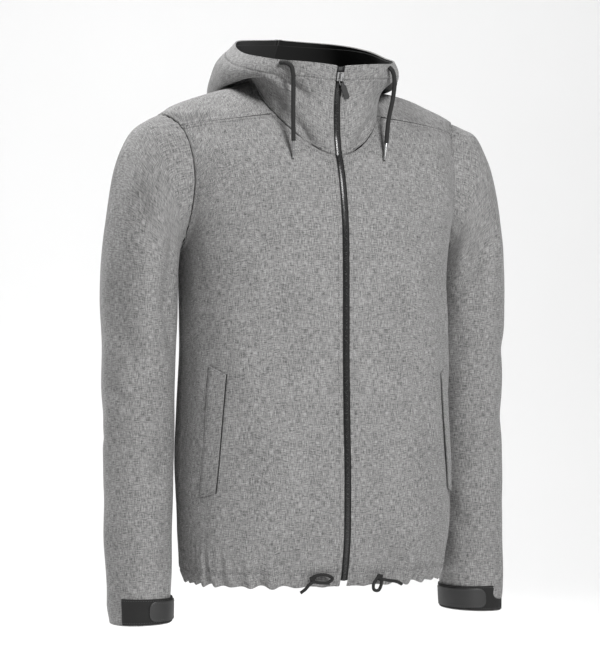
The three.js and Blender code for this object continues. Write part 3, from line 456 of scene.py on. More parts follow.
class Shader:
    """One node material, built by expressions."""

    def __init__(self, name: str) -> None:
        """Start an empty material with its Principled node."""
        self.material = bpy.data.materials.new(name)
        self.material.use_nodes = True
        self.tree = self.material.node_tree
        self.surface = self.tree.nodes["Principled BSDF"]

    def node(self, kind: str, settings: dict[str, Any] | None = None, values: dict[Any, Any] | None = None,
             output: int | str = 0) -> Socket:
        """Add a node.

        Args:
            kind: The node's type.
            settings: Its settings, set first.
            values: What goes into its sockets, by index or name: numbers, tuples or sockets.
            output: The output to give back.

        Returns:
            The output socket.
        """
        made = self.tree.nodes.new(kind)
        for key, value in (settings or {}).items():
            setattr(made, key, value)
        for key, value in (values or {}).items():
            self.feed(made.inputs[key], value)
        return Socket(self, made.outputs[output])

    def feed(self, target: Any, value: Any) -> None:
        """Link a socket to an input, or set the input to a value."""
        if isinstance(value, Socket):
            self.tree.links.new(value.out, target)
        else:
            target.default_value = value

    def cloth_place(self, stretch: Triple) -> Socket:
        """The place on the flat cloth in millimetres, scaled by stretch."""
        uv = self.node("ShaderNodeUVMap", {"uv_map": "cloth"})
        scale = tuple(1000.0 * s for s in stretch)
        return self.node("ShaderNodeVectorMath", {"operation": "MULTIPLY"}, {0: uv, 1: scale})

    def object_place(self, scale: float) -> Socket:
        """The place in the jacket's frame in millimetres, scaled."""
        place = self.node("ShaderNodeTexCoord", output="Object")
        return self.node("ShaderNodeVectorMath", {"operation": "SCALE"}, {0: place, "Scale": 1000.0 * scale})

    def noise(self, place: Socket, detail: float = 2.0, roughness: float = 0.5) -> Socket:
        """A noise value from 0 to 1."""
        return self.node("ShaderNodeTexNoise", None, {"Vector": place, "Scale": 1.0, "Detail": detail, "Roughness": roughness})

    def blend(self, factor: Any, a: Any, b: Any) -> Socket:
        """A colour between a and b."""
        return self.node("ShaderNodeMix", {"data_type": "RGBA"}, {0: factor, 6: a, 7: b}, output=2)

    def bump(self, height: Socket, strength: float, distance_mm: float) -> Socket:
        """A normal from a height."""
        return self.node("ShaderNodeBump", None, {"Strength": strength, "Distance": distance_mm * MM, "Height": height})

    def finish(self, **inputs: Any) -> bpy.types.Material:
        """Feed the Principled node, by input names with underscores for spaces."""
        for key, value in inputs.items():
            self.feed(self.surface.inputs[key.replace("_", " ")], value)
        return self.material


def grey(value: float, warmth: float = 0.0) -> tuple[float, float, float, float]:
    """A linear grey, a little warm or cool."""
    return (value * (1 + warmth), value, value * (1 - warmth), 1.0)


@dataclass(frozen=True)
class MelangeFinish:
    """Grey softshell face cloth: fine dark and pale slubs along both threads."""

    dark: float = 0.05
    pale: float = 0.33

    def build(self, name: str) -> bpy.types.Material:
        """Make the material."""
        s = Shader(name)
        across = s.noise(s.cloth_place((0.11, 1.0, 1.0)), 3.0, 0.65)
        along = s.noise(s.cloth_place((1.0, 0.1, 1.0)), 3.0, 0.65)
        speck = s.noise(s.cloth_place((1.7, 1.7, 1.0)), 1.0, 0.5)
        cloud = s.noise(s.cloth_place((0.02, 0.02, 1.0)), 2.0, 0.5)
        streaks = across * 0.38 + along * 0.38 + speck * 0.24
        tone = (streaks - 0.5) * 5.2 + 0.5 + (cloud - 0.5) * 0.25
        colour = s.blend(tone.above(0.52, 0.66), grey(self.dark, 0.004), grey(self.pale, 0.01))
        rib = s.noise(s.cloth_place((1.6, 1.6, 1.0)), 1.0, 0.5)
        height = rib * 0.6 + streaks * 0.8
        return s.finish(Base_Color=colour, Roughness=0.86 - speck * 0.1, Normal=s.bump(height, 0.35, 0.25),
                        Specular_IOR_Level=0.25, Sheen_Weight=0.12, Sheen_Roughness=0.5)


@dataclass(frozen=True)
class FleeceFinish:
    """Short black fleece on the inside of the cloth and the hood."""

    tone: float = 0.009

    def build(self, name: str) -> bpy.types.Material:
        """Make the material."""
        s = Shader(name)
        pile = s.noise(s.object_place(0.55), 3.0, 0.65)
        patch = s.noise(s.object_place(0.05), 2.0, 0.5)
        colour = s.blend(pile * 0.7 + patch * 0.3, grey(self.tone * 0.6), grey(self.tone * 1.7, 0.02))
        return s.finish(Base_Color=colour, Roughness=0.95, Normal=s.bump(pile, 0.6, 0.6), Specular_IOR_Level=0.15,
                        Sheen_Weight=0.15, Sheen_Roughness=0.6)


@dataclass(frozen=True)
class WovenTapeFinish:
    """Black herringbone zip tape."""

    tone: float = 0.014

    def build(self, name: str) -> bpy.types.Material:
        """Make the material."""
        s = Shader(name)
        place = s.cloth_place((1.0, 1.0, 1.0))
        u = s.node("ShaderNodeSeparateXYZ", None, {0: place}, output=0)
        v = s.node("ShaderNodeSeparateXYZ", None, {0: place}, output=1)
        weave = (v * 5.2 + (u * 2.4).sine() * 1.6).sine() * 0.5 + 0.5
        colour = s.blend(weave, grey(self.tone * 0.6), grey(self.tone * 1.8))
        return s.finish(Base_Color=colour, Roughness=0.8, Normal=s.bump(weave, 0.5, 0.2), Specular_IOR_Level=0.3)


@dataclass(frozen=True)
class CordFinish:
    """Round black cord with a fine diagonal braid."""

    tone: float = 0.012
    pitch: float = 1.5

    def build(self, name: str) -> bpy.types.Material:
        """Make the material."""
        s = Shader(name)
        place = s.object_place(1.0)
        x, y, z = (s.node("ShaderNodeSeparateXYZ", None, {0: place}, output=i) for i in range(3))
        turn = 2 * math.pi / self.pitch
        braid = ((z + x * 0.9) * turn).sine() * ((z - x * 0.9 + y * 0.4) * turn).sine()
        height = braid * 0.5 + 0.5
        colour = s.blend(height, grey(self.tone * 0.5), grey(self.tone * 2.2, 0.01))
        return s.finish(Base_Color=colour, Roughness=0.78, Normal=s.bump(height, 0.6, 0.35), Specular_IOR_Level=0.3)


@dataclass(frozen=True)
class SmoothFinish:
    """Moulded, metal or clear trim: fine grain, faint scuffs."""

    tone: float
    roughness: float
    metallic: float = 0.0
    grain: float = 0.4

    def build(self, name: str) -> bpy.types.Material:
        """Make the material."""
        s = Shader(name)
        grain = s.noise(s.object_place(2.2), 2.0, 0.6)
        scuff = s.noise(s.object_place(0.35), 3.0, 0.6).above(0.6, 0.2)
        colour = s.blend(grain * 0.3 + scuff * 0.3, grey(self.tone * 0.85), grey(self.tone * 1.2))
        return s.finish(Base_Color=colour, Roughness=self.roughness + scuff * 0.12, Metallic=self.metallic,
                        Normal=s.bump(grain, 0.25, 0.08 * self.grain))


@dataclass(frozen=True)
class ThreadFinish:
    """Sewing thread a shade darker than the cloth."""

    tone: float = 0.06

    def build(self, name: str) -> bpy.types.Material:
        """Make the material."""
        s = Shader(name)
        twist = s.noise(s.object_place(2.5), 1.0, 0.5)
        colour = s.blend(twist, grey(self.tone * 0.7), grey(self.tone * 1.3))
        return s.finish(Base_Color=colour, Roughness=0.7, Normal=s.bump(twist, 0.3, 0.1))


class Finish(Enum):
    """The jacket's finishes, with the record's slot that each belongs to."""

    MELANGE = ("melange", MelangeFinish())
    FLEECE = ("lining", FleeceFinish())
    TAPE = ("tape", WovenTapeFinish())
    WEBBING = ("tape", CordFinish(0.01, 1.2))
    TEETH = ("teeth", SmoothFinish(0.03, 0.22))
    CORD = ("cord", CordFinish())
    RUBBER = ("rubber", SmoothFinish(0.022, 0.48))
    METAL = ("metal", SmoothFinish(0.32, 0.28, 1.0))
    TIP = ("tip", SmoothFinish(0.42, 0.2, 0.65))
    THREAD = ("melange", ThreadFinish())

    @property
    def slot(self) -> str:
        """The record's slot."""
        return self.value[0]

    def material(self) -> bpy.types.Material:
        """The finish's one material, made on first use."""
        name = f"{self.name.lower()}_finish"
        return bpy.data.materials.get(name) or self.value[1].build(name)


# Making and mending meshes


def mesh_object(name: str, vertices: Array, faces: Sequence[Sequence[int]], finishes: Sequence[Finish],
                which: Sequence[int] | None = None, uvs: Array | None = None, body: str = JACKET,
                replaces: Sequence[str] = (), girth: float = 0.0) -> bpy.types.Object:
    """A mesh in the jacket's frame that rides on a body.

    Args:
        name: The piece's name.
        vertices: Points in millimetres.
        faces: Vertex indices of each face.
        finishes: The piece's finishes.
        which: Each face's finish, by index.
        uvs: Places on the flat cloth in millimetres, one for each vertex.
        body: The body that carries it.
        replaces: The solids that it stands for.
        girth: The flat width of a tube of cloth, whose last column of quads goes on to its first.

    Returns:
        The object.
    """
    mesh = bpy.data.meshes.new(name)
    mesh.from_pydata((np.asarray(vertices) * MM).tolist(), [], [list(map(int, f)) for f in faces])
    for finish in finishes:
        mesh.materials.append(finish.material())
    if which is not None:
        mesh.polygons.foreach_set("material_index", np.asarray(which, np.int32))
    if uvs is not None:
        corners = np.zeros(len(mesh.loops), np.int32)
        mesh.loops.foreach_get("vertex_index", corners)
        layer = mesh.uv_layers.new(name="cloth")
        places = np.asarray(uvs)[corners]
        if girth:
            quads = places.reshape(-1, 4, 2)
            over = np.ptp(quads[..., 0], axis=1)[:, None] > girth / 2
            quads[..., 0] += girth * (over & (quads[..., 0] < quads[..., 0].mean(1, keepdims=True)))
        layer.data.foreach_set("uv", (places * MM).astype(np.float32).ravel())
    mesh.polygons.foreach_set("use_smooth", np.ones(len(mesh.polygons), bool))
    mesh.set_sharp_from_angle(angle=math.radians(50))
    mesh.update()
    made = bpy.data.objects.new(name, mesh)
    bpy.context.scene.collection.objects.link(made)
    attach(made, body)
    if replaces:
        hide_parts(*replaces)
    log.info("made %s with %d faces", name, len(mesh.polygons))
    return made


def grid_normals(grid: Array, closed: bool = False) -> Array:
    """Normals of a grid of points, of shape (rows, columns, 3)."""
    if closed:
        across = np.roll(grid, -1, 1) - np.roll(grid, 1, 1)
    else:
        across = np.gradient(grid, axis=1)
    return unit(np.cross(across, np.gradient(grid, axis=0)))


def drape(points: Array, seed: int, stretch: Triple, waves: int = 14) -> Array:
    """Soft uneven waves over the cloth, about from -1 to 1.

    Args:
        points: Points in millimetres.
        seed: Which set of waves.
        stretch: How long the waves are along each axis, in millimetres.
        waves: How many are added up.

    Returns:
        One value for each point.
    """
    draw = np.random.default_rng(seed)
    total = np.zeros(points.shape[:-1])
    for _ in range(waves):
        direction = draw.normal(size=3) / np.array(stretch) * 2.2
        total += np.sin(points @ direction + draw.uniform(0, 2 * math.pi))
    return total / math.sqrt(waves)


@dataclass
class Cloth:
    """A panel of cloth: a grid of points on its face, from which its thickness, edges and sewing come."""

    name: str
    grid: Array
    flat: tuple[float, float]
    wall: float = WALL
    closed: bool = False
    outward: float = 1.0
    backing: Finish = Finish.FLEECE
    face: Finish = Finish.MELANGE
    cloth_map: Array | None = None
    held: str = "stretched"
    rests_on: tuple[str, ...] = ()
    girth: float = 0.0
    spine_rows: int = 0

    def normals(self) -> Array:
        """Normals that point away from the wearer."""
        normals = self.outward * grid_normals(self.grid, self.closed)
        normals[: self.spine_rows, 0, 0] = 0.0  # where it meets its mirrored half
        return unit(normals)

    def from_edge(self, axis: int, end: int) -> Array:
        """Each point's distance in millimetres from one edge, along its row (axis 1) or its column (axis 0)."""
        steps = np.linalg.norm(np.diff(self.grid, axis=axis), axis=-1)
        zero = np.zeros_like(np.take(steps, [0], axis))
        run = np.concatenate([zero, np.cumsum(steps, axis)], axis)
        return run if end == 0 else np.take(run, [-1], axis) - run

    def move(self, distance: Array) -> None:
        """Move the points out along their normals."""
        self.grid = self.grid + self.normals() * distance[..., None]

    def reach(self, axis: int, end: int, by: float = 0.15) -> None:
        """Bring an edge closer to the piece that it is sewn to.

        Args:
            axis: 1 for an edge that crosses the rows' ends, 0 for the first or last row.
            end: 0 for the first edge, 1 for the last.
            by: How far, in millimetres.
        """
        rows = self.grid if axis == 0 else self.grid.transpose(1, 0, 2)
        edge, next_in = (0, 1) if end == 0 else (-1, -2)
        rows[edge] += unit(rows[edge] - rows[next_in]) * by

    def line(self, axis: int, end: int, distance: float, span: tuple[float, float] = (0.0, 1.0)) -> tuple[Array, Array]:
        """Points and normals of a line that runs beside an edge.

        Args:
            axis: 1 for an edge that crosses the rows' ends, 0 for the first or last row.
            end: 0 for the first edge, 1 for the last.
            distance: How far in from the edge, in millimetres.
            span: The share of the edge's length that it runs along.

        Returns:
            Points and normals, each of shape (n, 3).
        """
        run, normals = self.from_edge(axis, end), self.normals()
        grid = self.grid
        if axis == 0:
            run, normals, grid = run.T, normals.transpose(1, 0, 2), grid.transpose(1, 0, 2)
        if end == 1:
            run, normals, grid = run[:, ::-1], normals[:, ::-1], grid[:, ::-1]
        rows = range(int(span[0] * (len(grid) - 1)), int(span[1] * (len(grid) - 1)) + 1)
        pick = lambda values: np.array([[np.interp(distance, run[r], values[r][:, k]) for k in range(3)] for r in rows])
        return pick(grid), unit(pick(normals))

    def shell(self) -> tuple[Array, Array, Array, Array]:
        """The closed shell of the cloth.

        Returns:
            Its vertices, quads, each quad's finish and the places on the flat cloth.
        """
        rows, cols = self.grid.shape[:2]
        outer, inner = self.grid.reshape(-1, 3), (self.grid - self.normals() * self.wall).reshape(-1, 3)
        count = rows * cols
        index = np.arange(count).reshape(rows, cols)
        wrapped = np.concatenate([index, index[:, :1]], 1) if self.closed else index
        a, b, c, d = wrapped[:-1, :-1].ravel(), wrapped[:-1, 1:].ravel(), wrapped[1:, 1:].ravel(), wrapped[1:, :-1].ravel()
        quads = np.stack([a, b, c, d] if self.outward > 0 else [a, d, c, b], 1)
        faces = [quads, quads[:, ::-1] + count]
        loops = [wrapped[0], wrapped[-1][::-1]] if self.closed else [
            np.concatenate([index[0], index[1:, -1], index[-1, ::-1][1:], index[::-1, 0][1:]])]
        for loop in loops:
            p, q = loop[:-1], loop[1:]
            strip = np.stack([q, p, p + count, q + count], 1)
            faces.append(strip if self.outward > 0 else strip[:, ::-1])
        kinds = (0, 1) + (0,) * (len(faces) - 2)
        which = np.concatenate([np.full(len(f), kind, np.int32) for f, kind in zip(faces, kinds)])
        place = self.cloth_map if self.cloth_map is not None else np.stack([self.from_edge(1, 0), self.from_edge(0, 0)], -1)
        return np.concatenate([outer, inner]), np.concatenate(faces), which, np.tile(place.reshape(-1, 2), (2, 1))

    def build(self, replaces: Sequence[str] = (), half: "Cloth | None" = None) -> bpy.types.Object:
        """Make the mesh: face, backing and edges.

        Args:
            replaces: The solids that it stands for.
            half: A mirrored half, joined on along the spine rows.

        Returns:
            The object.
        """
        vertices, faces, which, uvs = self.shell()
        if half is not None:
            more, other, kinds, places = half.shell()
            rows, cols = self.grid.shape[:2]
            spine = (np.arange(self.spine_rows)[:, None] * cols + np.array([0, rows * cols])).ravel()
            moved = np.arange(len(more)) + len(vertices)
            moved[spine] = spine
            faces, which = np.concatenate([faces, moved[other]]), np.concatenate([which, kinds])
            kept = ~np.isin(faces, spine).all(1)
            faces, which = faces[kept], which[kept]
            vertices, uvs = np.concatenate([vertices, more]), np.concatenate([uvs, places])
        made = mesh_object(f"{self.name}_cloth", vertices, faces, (self.face, self.backing), which, uvs,
                           replaces=replaces, girth=self.girth)
        face = vertices[faces[which == 0]]
        area = float(np.linalg.norm(np.cross(face[:, 2] - face[:, 0], face[:, 3] - face[:, 1]), axis=1).sum() / 2) * MM * MM
        width, length = (size * MM for size in self.flat)
        if width < 0.01:  # a binding, not a sheet
            return made
        min(area, width * length)
        return made


@dataclass
class Stitching:
    """Topstitching: short threads along lines on the cloth."""

    name: str
    pitch: float = 3.4
    length: float = 2.5
    thickness: float = 0.36
    runs: list[tuple[Array, Array]] = field(default_factory=list)

    def add(self, points: Array, normals: Array) -> None:
        """Add a line to sew."""
        self.runs.append((points, normals))

    def build(self) -> bpy.types.Object:
        """Make all the threads as one mesh."""
        vertices, faces = [], []
        for points, normals in self.runs:
            steps = np.linalg.norm(np.diff(points, axis=0), axis=1)
            run = np.concatenate([[0], np.cumsum(steps)])
            for s in np.arange(self.pitch / 2, run[-1], self.pitch):
                at, ahead = (np.array([np.interp(s + d, run, points[:, k]) for k in range(3)]) for d in (0, 0.4))
                up = unit(np.array([np.interp(s, run, normals[:, k]) for k in range(3)]))
                along = unit(ahead - at)
                side = np.cross(up, along)
                base = len(vertices)
                centre = at + up * 0.12
                for offset in (along * self.length / 2, side * self.thickness, up * self.thickness * 0.9,
                               -side * self.thickness, -up * self.thickness, -along * self.length / 2):
                    vertices.append(centre + offset)
                faces += [(base, base + 1 + i, base + 1 + (i + 1) % 4) for i in range(4)]
                faces += [(base + 5, base + 1 + (i + 1) % 4, base + 1 + i) for i in range(4)]
        return mesh_object(self.name, np.array(vertices), faces, (Finish.THREAD,))


# Cut and sewn pieces


def bell(distance: Array, middle: float, width: float) -> Array:
    """A smooth bump, 1 at its middle and fading over its width."""
    return np.exp(-(((distance - middle) / width) ** 2))


def close_to_edges(count: int, width: float, near: Sequence[float] = (0.8, 1.8, 3.0, 4.4, 5.6, 6.5, 7.4, 8.8, 11.0)) -> Array:
    """Shares from 0 to 1, evenly spread and closer together beside both ends.

    Args:
        count: How many even steps.
        width: The length that the shares stand for, in millimetres.
        near: Distances from each end that get a share of their own.

    Returns:
        The shares, rising.
    """
    edge = np.array(near) / width
    inside = np.linspace(0, 1, count + 1)
    inside = inside[(inside > edge[-1] + 0.3 / count) & (inside < 1 - edge[-1] - 0.3 / count)]
    return np.concatenate([[0.0], edge, inside, 1 - edge[::-1], [1.0]])


def seam_relief(distance: Array, stitch: float = 6.5, valley: float = 0.45, ridge: float = 0.7) -> Array:
    """How a sewn edge stands: down at the seam, raised over the folded allowance and pulled in by its thread."""
    raised = ridge * smooth((stitch + 1.2 - distance) / 1.6)
    return raised - (valley + ridge) * bell(distance, 0, 1.2) - 0.65 * bell(distance, stitch, 1.1)


def pucker(distance: Array, along: Array, seed: float, reach: float = 9.0, pitch: float = 11.0) -> Array:
    """Small uneven waves where a seam draws the cloth up."""
    phase = along * 2 * math.pi / pitch + 1.9 * np.sin(along / 23.0 + seed) + seed
    return np.exp(-((distance / reach) ** 2)) * np.sin(phase) * (0.6 + 0.4 * np.sin(along / 37.0 + 2 * seed))


@dataclass
class BodyPanels:
    """The two fronts and the back, which comes over the shoulders to forward seams."""

    side_rows: float = 11
    arm_rows: float = 9
    zip_rows: float = 14
    forward_rows: float = 3
    hem_turn: float = 91
    stitches_in: float = 6.5
    hem_channel: float = 21.0
    seed: int = 7
    sewing: Stitching = field(default_factory=lambda: Stitching("topstitch_body"))

    def hem_height(self, row: Array, last: float, top: float) -> Array:
        """Height of a row that runs up from the hem."""
        return np.interp(row, [0, 1, 2, last], [HEM_Z, HEM_Z + 10, HEM_Z + 30, top])

    def side_seam(self, row: Array, side: float) -> Array:
        """Turn and height of the side seam, which meets the lowest point of the armhole."""
        armpit = BODY.arm_seam(np.array(180.0))
        z = self.hem_height(row, self.side_rows, float(armpit[1]))
        share = np.clip((z - HEM_Z) / (armpit[1] - HEM_Z), 0, 1) ** 1.5
        return np.stack([self.hem_turn + (armpit[0] - self.hem_turn) * share + 0.06 * side, z], -1)

    def rows_of(self, front: bool) -> Array:
        """The rows of a panel's grid."""
        last = self.side_rows + self.arm_rows + (0 if front else self.forward_rows)
        rows = np.concatenate([np.linspace(0, 2, 15)[:-1], 2 + (last - 2) * close_to_edges(190, 800)[1:]])
        return np.unique(np.concatenate([rows, [2.0, self.side_rows, self.zip_rows]]))

    def panel(self, front: bool) -> tuple[Array, Array]:
        """The wearer's left half of the front or back.

        Args:
            front: Whether it is the front.

        Returns:
            The grid and its places on the flat cloth.
        """
        zip_turn = math.degrees(math.asin(ZIP_EDGE / NECK["half"]))
        last = self.side_rows + self.arm_rows + (0 if front else self.forward_rows)
        rows = self.rows_of(front)
        nape_or_zip = neck_point(np.array(zip_turn if front else 180.0))[2] - 0.5 * SEAM
        z = self.hem_height(rows, self.zip_rows, float(nape_or_zip))
        arm_end = self.side_rows + self.arm_rows
        if front:
            neck_turn = np.interp(rows, [self.zip_rows, last], [zip_turn, SHOULDER_NECK_TURN])
            arm_turn = np.interp(rows, [self.side_rows, last], [180, SHOULDER_ARM_TURN])
            inner = np.stack([BODY.turn_at_x(ZIP_EDGE, z), z], -1)
        else:
            neck_turn = np.interp(rows, [self.zip_rows, arm_end, last], [180, NAPE_TURN, SHOULDER_NECK_TURN])
            arm_turn = np.interp(rows, [self.side_rows, arm_end, last], [180, 360, 360 + SHOULDER_ARM_TURN])
            inner = np.stack([np.zeros_like(z), z], -1)
        inner = np.where((rows > self.zip_rows)[:, None], BODY.neck_seam(neck_turn), inner)
        outer = np.where((rows > self.side_rows)[:, None], BODY.arm_seam(arm_turn), self.side_seam(rows, 1 if front else -1))
        if not front:
            inner[-1] += (-0.35, SEAM)
            outer[-1] += (-0.1, SEAM)
        share = close_to_edges(110, 270)[None, :, None]
        place = inner[:, None] * (1 - share) + outer[:, None] * share
        grid = BODY.surface(place[..., 0], place[..., 1])
        steps = np.linalg.norm(np.diff(grid, axis=1), axis=-1)
        across = np.abs(grid[:, :1, 0]) + np.concatenate([np.zeros((len(grid), 1)), np.cumsum(steps, 1)], 1)
        climb = np.linalg.norm(np.diff(grid, axis=0), axis=-1)
        up = np.concatenate([np.zeros((1, grid.shape[1])), np.cumsum(climb, 0)], 0)
        return grid, np.stack([across, up], -1)

    def sew(self, cloth: Cloth, seed: int, zip_side: bool) -> None:
        """Give a panel its seams, channel, puckers and soft waves.

        Args:
            cloth: The panel.
            seed: Which set of waves.
            zip_side: Whether its first edge is at the zip, not at the middle of the back.
        """
        neck_or_zip, side = cloth.from_edge(1, 0), cloth.from_edge(1, 1)
        if not zip_side:  # the spine isn't an edge
            neck_or_zip[: cloth.spine_rows] = 999.0
            into = np.arange(len(neck_or_zip) - cloth.spine_rows) / 10
            neck_or_zip[cloth.spine_rows :] += 12 * (1 - smooth(into))[:, None]
        hem, top = cloth.from_edge(0, 0), cloth.from_edge(0, 1)
        up = hem
        wear = 2.3 * drape(cloth.grid, seed, (70, 70, 200)) + 0.8 * drape(cloth.grid, seed + 1, (30, 30, 70))
        clear = smooth(np.minimum(np.minimum(neck_or_zip, side), top) / 22)
        move = wear * clear * smooth((hem + 6) / 30)
        move += seam_relief(side, self.stitches_in) + 0.5 * pucker(side, up, 0.4)
        move += seam_relief(neck_or_zip, self.stitches_in, 0.4, 0.6) + 0.35 * pucker(neck_or_zip, up, 1.7)
        move += seam_relief(top, self.stitches_in, 0.4, 0.6)
        move -= 0.9 * bell(hem, self.hem_channel, 1.6) + 0.9 * bell(hem, 0, 1.4)
        across = cloth.cloth_map[..., 0]
        drawn = smooth((np.abs(across) - 18) / 30) * np.sin(across * 2 * math.pi / 12.5 + 1.6 * np.sin(across / 19.0 + seed))
        rise = np.abs(hem - self.hem_channel) * np.where(hem > self.hem_channel, 1 / 34, 1 / 14)
        move += 1.0 * drawn * np.exp(-(rise**2)) * (0.65 + 0.35 * np.sin(across / 31.0 + 2 * seed))
        cloth.move(move)
        cloth.reach(1, 1)
        cloth.reach(0, 1)
        self.sewing.add(*cloth.line(0, 0, self.hem_channel))
        self.sewing.add(*cloth.line(0, 0, self.hem_channel - 2.2))
        if zip_side:
            self.sewing.add(*cloth.line(1, 0, self.stitches_in))
            self.sewing.add(*cloth.line(0, 1, self.stitches_in))
        self.sewing.add(*cloth.line(1, 1, self.stitches_in, (0.56, 1.0)))

    def build(self) -> dict[str, Cloth]:
        """Make the fronts and the back.

        Returns:
            The panels by name.
        """
        made = {}
        grid, place = self.panel(True)
        for side in Side:
            name = f"front_{side.value}"
            cloth = Cloth(name, grid * (side.sign, 1, 1), (330, 720), outward=side.sign, cloth_map=place)
            self.sew(cloth, self.seed + (side is Side.LEFT) * 10, True)
            made[name] = cloth
        half, place = self.panel(False)
        spine = int(np.searchsorted(self.rows_of(False), self.zip_rows)) + 1
        halves = [Cloth("back", half * (s, 1, 1), (640, 800), outward=-s, cloth_map=place * (s, 1), spine_rows=spine)
                  for s in (1, -1)]
        for cloth in halves:
            self.sew(cloth, self.seed + 30, False)
        for name, cloth in made.items():
            cloth.build([name])
        halves[0].build(["back"], halves[1])
        self.sewing.build()
        return made


@dataclass
class Sleeve:
    """One sleeve with its cuff band and tab."""

    side: Side
    folds: tuple[Fold, ...]
    creases: tuple[Fold, ...]
    columns: int = 168
    rows: int = 230
    seed: int = 40
    seam_turn: float = 205.0
    band_turns: tuple[float, float] = (38, 306)
    tab_turns: tuple[float, float] = (88, 198)
    band_wall: float = 1.0
    tab_wall: float = 1.6
    tab_round: float = 14.0
    tab_inset: float = 3.0

    def __post_init__(self) -> None:
        """Fit the form."""
        self.form = SleeveForm(self.folds + self.creases)

    def place(self, grid: Array) -> Array:
        """The right sleeve's points on this sleeve's side."""
        return grid * (-self.side.sign, 1, 1)

    def tube(self) -> Cloth:
        """The sleeve's cloth, from the armhole to the end."""
        turn = self.seam_turn + np.linspace(0, 360, self.columns, endpoint=False)
        step = np.concatenate([np.linspace(0, 1, 26)[:-1], np.linspace(1, self.form.last_step, self.rows - 25)])
        grid = self.form.surface(turn[None], step[:, None])
        ring = np.linalg.norm(np.roll(grid, -1, 1) - grid, axis=-1)
        girth = ring.sum(1).mean()
        around = np.cumsum(ring, 1) - ring
        around -= around[:, self.columns // 2, None]
        fall = np.concatenate([[0], np.cumsum(np.linalg.norm(np.diff(grid, axis=0), axis=-1).mean(1))])
        place = np.stack(np.broadcast_arrays(around, fall[:, None]), -1)
        cloth = Cloth(f"sleeve_{self.side.value}", self.place(grid), (470, 690), closed=True, outward=self.side.sign,
                      cloth_map=place, girth=float(girth))
        top, end = cloth.from_edge(0, 0), cloth.from_edge(0, 1)
        along = around
        move = 1.5 * drape(cloth.grid, self.seed, (40, 40, 110)) + 0.7 * drape(cloth.grid, self.seed + 1, (24, 24, 40))
        move = move * smooth(np.minimum(top, end) / 26)
        move += 0.8 * pucker(top, along, 0.9, 18, 17) - 0.4 * bell(top, 0, 1.5) - 0.6 * bell(end, 0, 1.3)
        cloth.move(move)
        cloth.reach(0, 0)
        return cloth

    def wrap(self, turns: Array, reach: Array, lift: float, wall: float, name: str, face: Finish, backing: Finish,
             flat: tuple[float, float]) -> Cloth:
        """A strip round the sleeve's end.

        Args:
            turns: The turns of its columns.
            reach: How far each column reaches from the strip's middle, as a share of the ring step.
            lift: How far its face stands off the sleeve.
            wall: Its thickness.
            name: Its name.
            face: Its face's finish.
            backing: Its back's finish.
            flat: Its flat width and length.

        Returns:
            The strip.
        """
        low, high = self.form.last_step - 1, self.form.last_step - 0.04
        across = np.array([-1, -0.94, -0.86, -0.78, -0.5, 0, 0.5, 0.78, 0.86, 0.94, 1.0])
        step = (low + high) / 2 + across[:, None] * reach[None]
        turn = np.broadcast_to(turns[None], step.shape)
        normals = normal_of(self.form.base, turn, np.minimum(step, self.form.last_step - 0.05), -1.5, 0.04)
        grid = self.form.base(turn, step) + normals * lift
        cloth = Cloth(name, self.place(grid), flat, wall=wall, outward=self.side.sign, face=face, backing=backing)
        rim = np.minimum(cloth.from_edge(0, 0), cloth.from_edge(0, 1))
        cloth.move(-0.45 * bell(rim, 0, 0.8) - 0.25 * bell(rim, 2.6, 0.7))
        return cloth

    def build(self) -> None:
        """Make the sleeve, band and tab."""
        side = self.side.value
        self.tube().build([f"sleeve_{side}"])
        low, high = self.form.last_step - 1, self.form.last_step - 0.04
        half = (high - low) / 2
        turns = np.linspace(*self.band_turns, 90)
        band = self.wrap(turns, np.full(len(turns), half), self.band_wall + 0.5, self.band_wall, f"cuff_band_{side}",
                         Finish.WEBBING, Finish.WEBBING, (38, 250))
        band.build([f"cuff_band_{side}"])
        start, end = self.tab_turns
        rounded = start + self.tab_round * np.linspace(0, 1, 14) ** 1.6
        turns = np.concatenate([rounded, np.linspace(start + self.tab_round, end, 34)[1:]])
        t = np.clip((turns - start) / self.tab_round, 0, 1)
        reach = (half - self.tab_inset / 34) * (0.3 + 0.7 * np.sqrt(1 - (1 - t) ** 2))
        tab = self.wrap(turns, reach, self.band_wall + self.tab_wall + 0.8, self.tab_wall, f"cuff_tab_{side}", Finish.RUBBER,
                        Finish.RUBBER, (30, 100))
        tab.build([f"cuff_tab_{side}"])
        sewing = Stitching(f"topstitch_cuff_{side}")
        for end_row in (0, 1):
            sewing.add(*band.line(0, end_row, 2.6))
            sewing.add(*tab.line(0, end_row, 2.6))
        sewing.build()


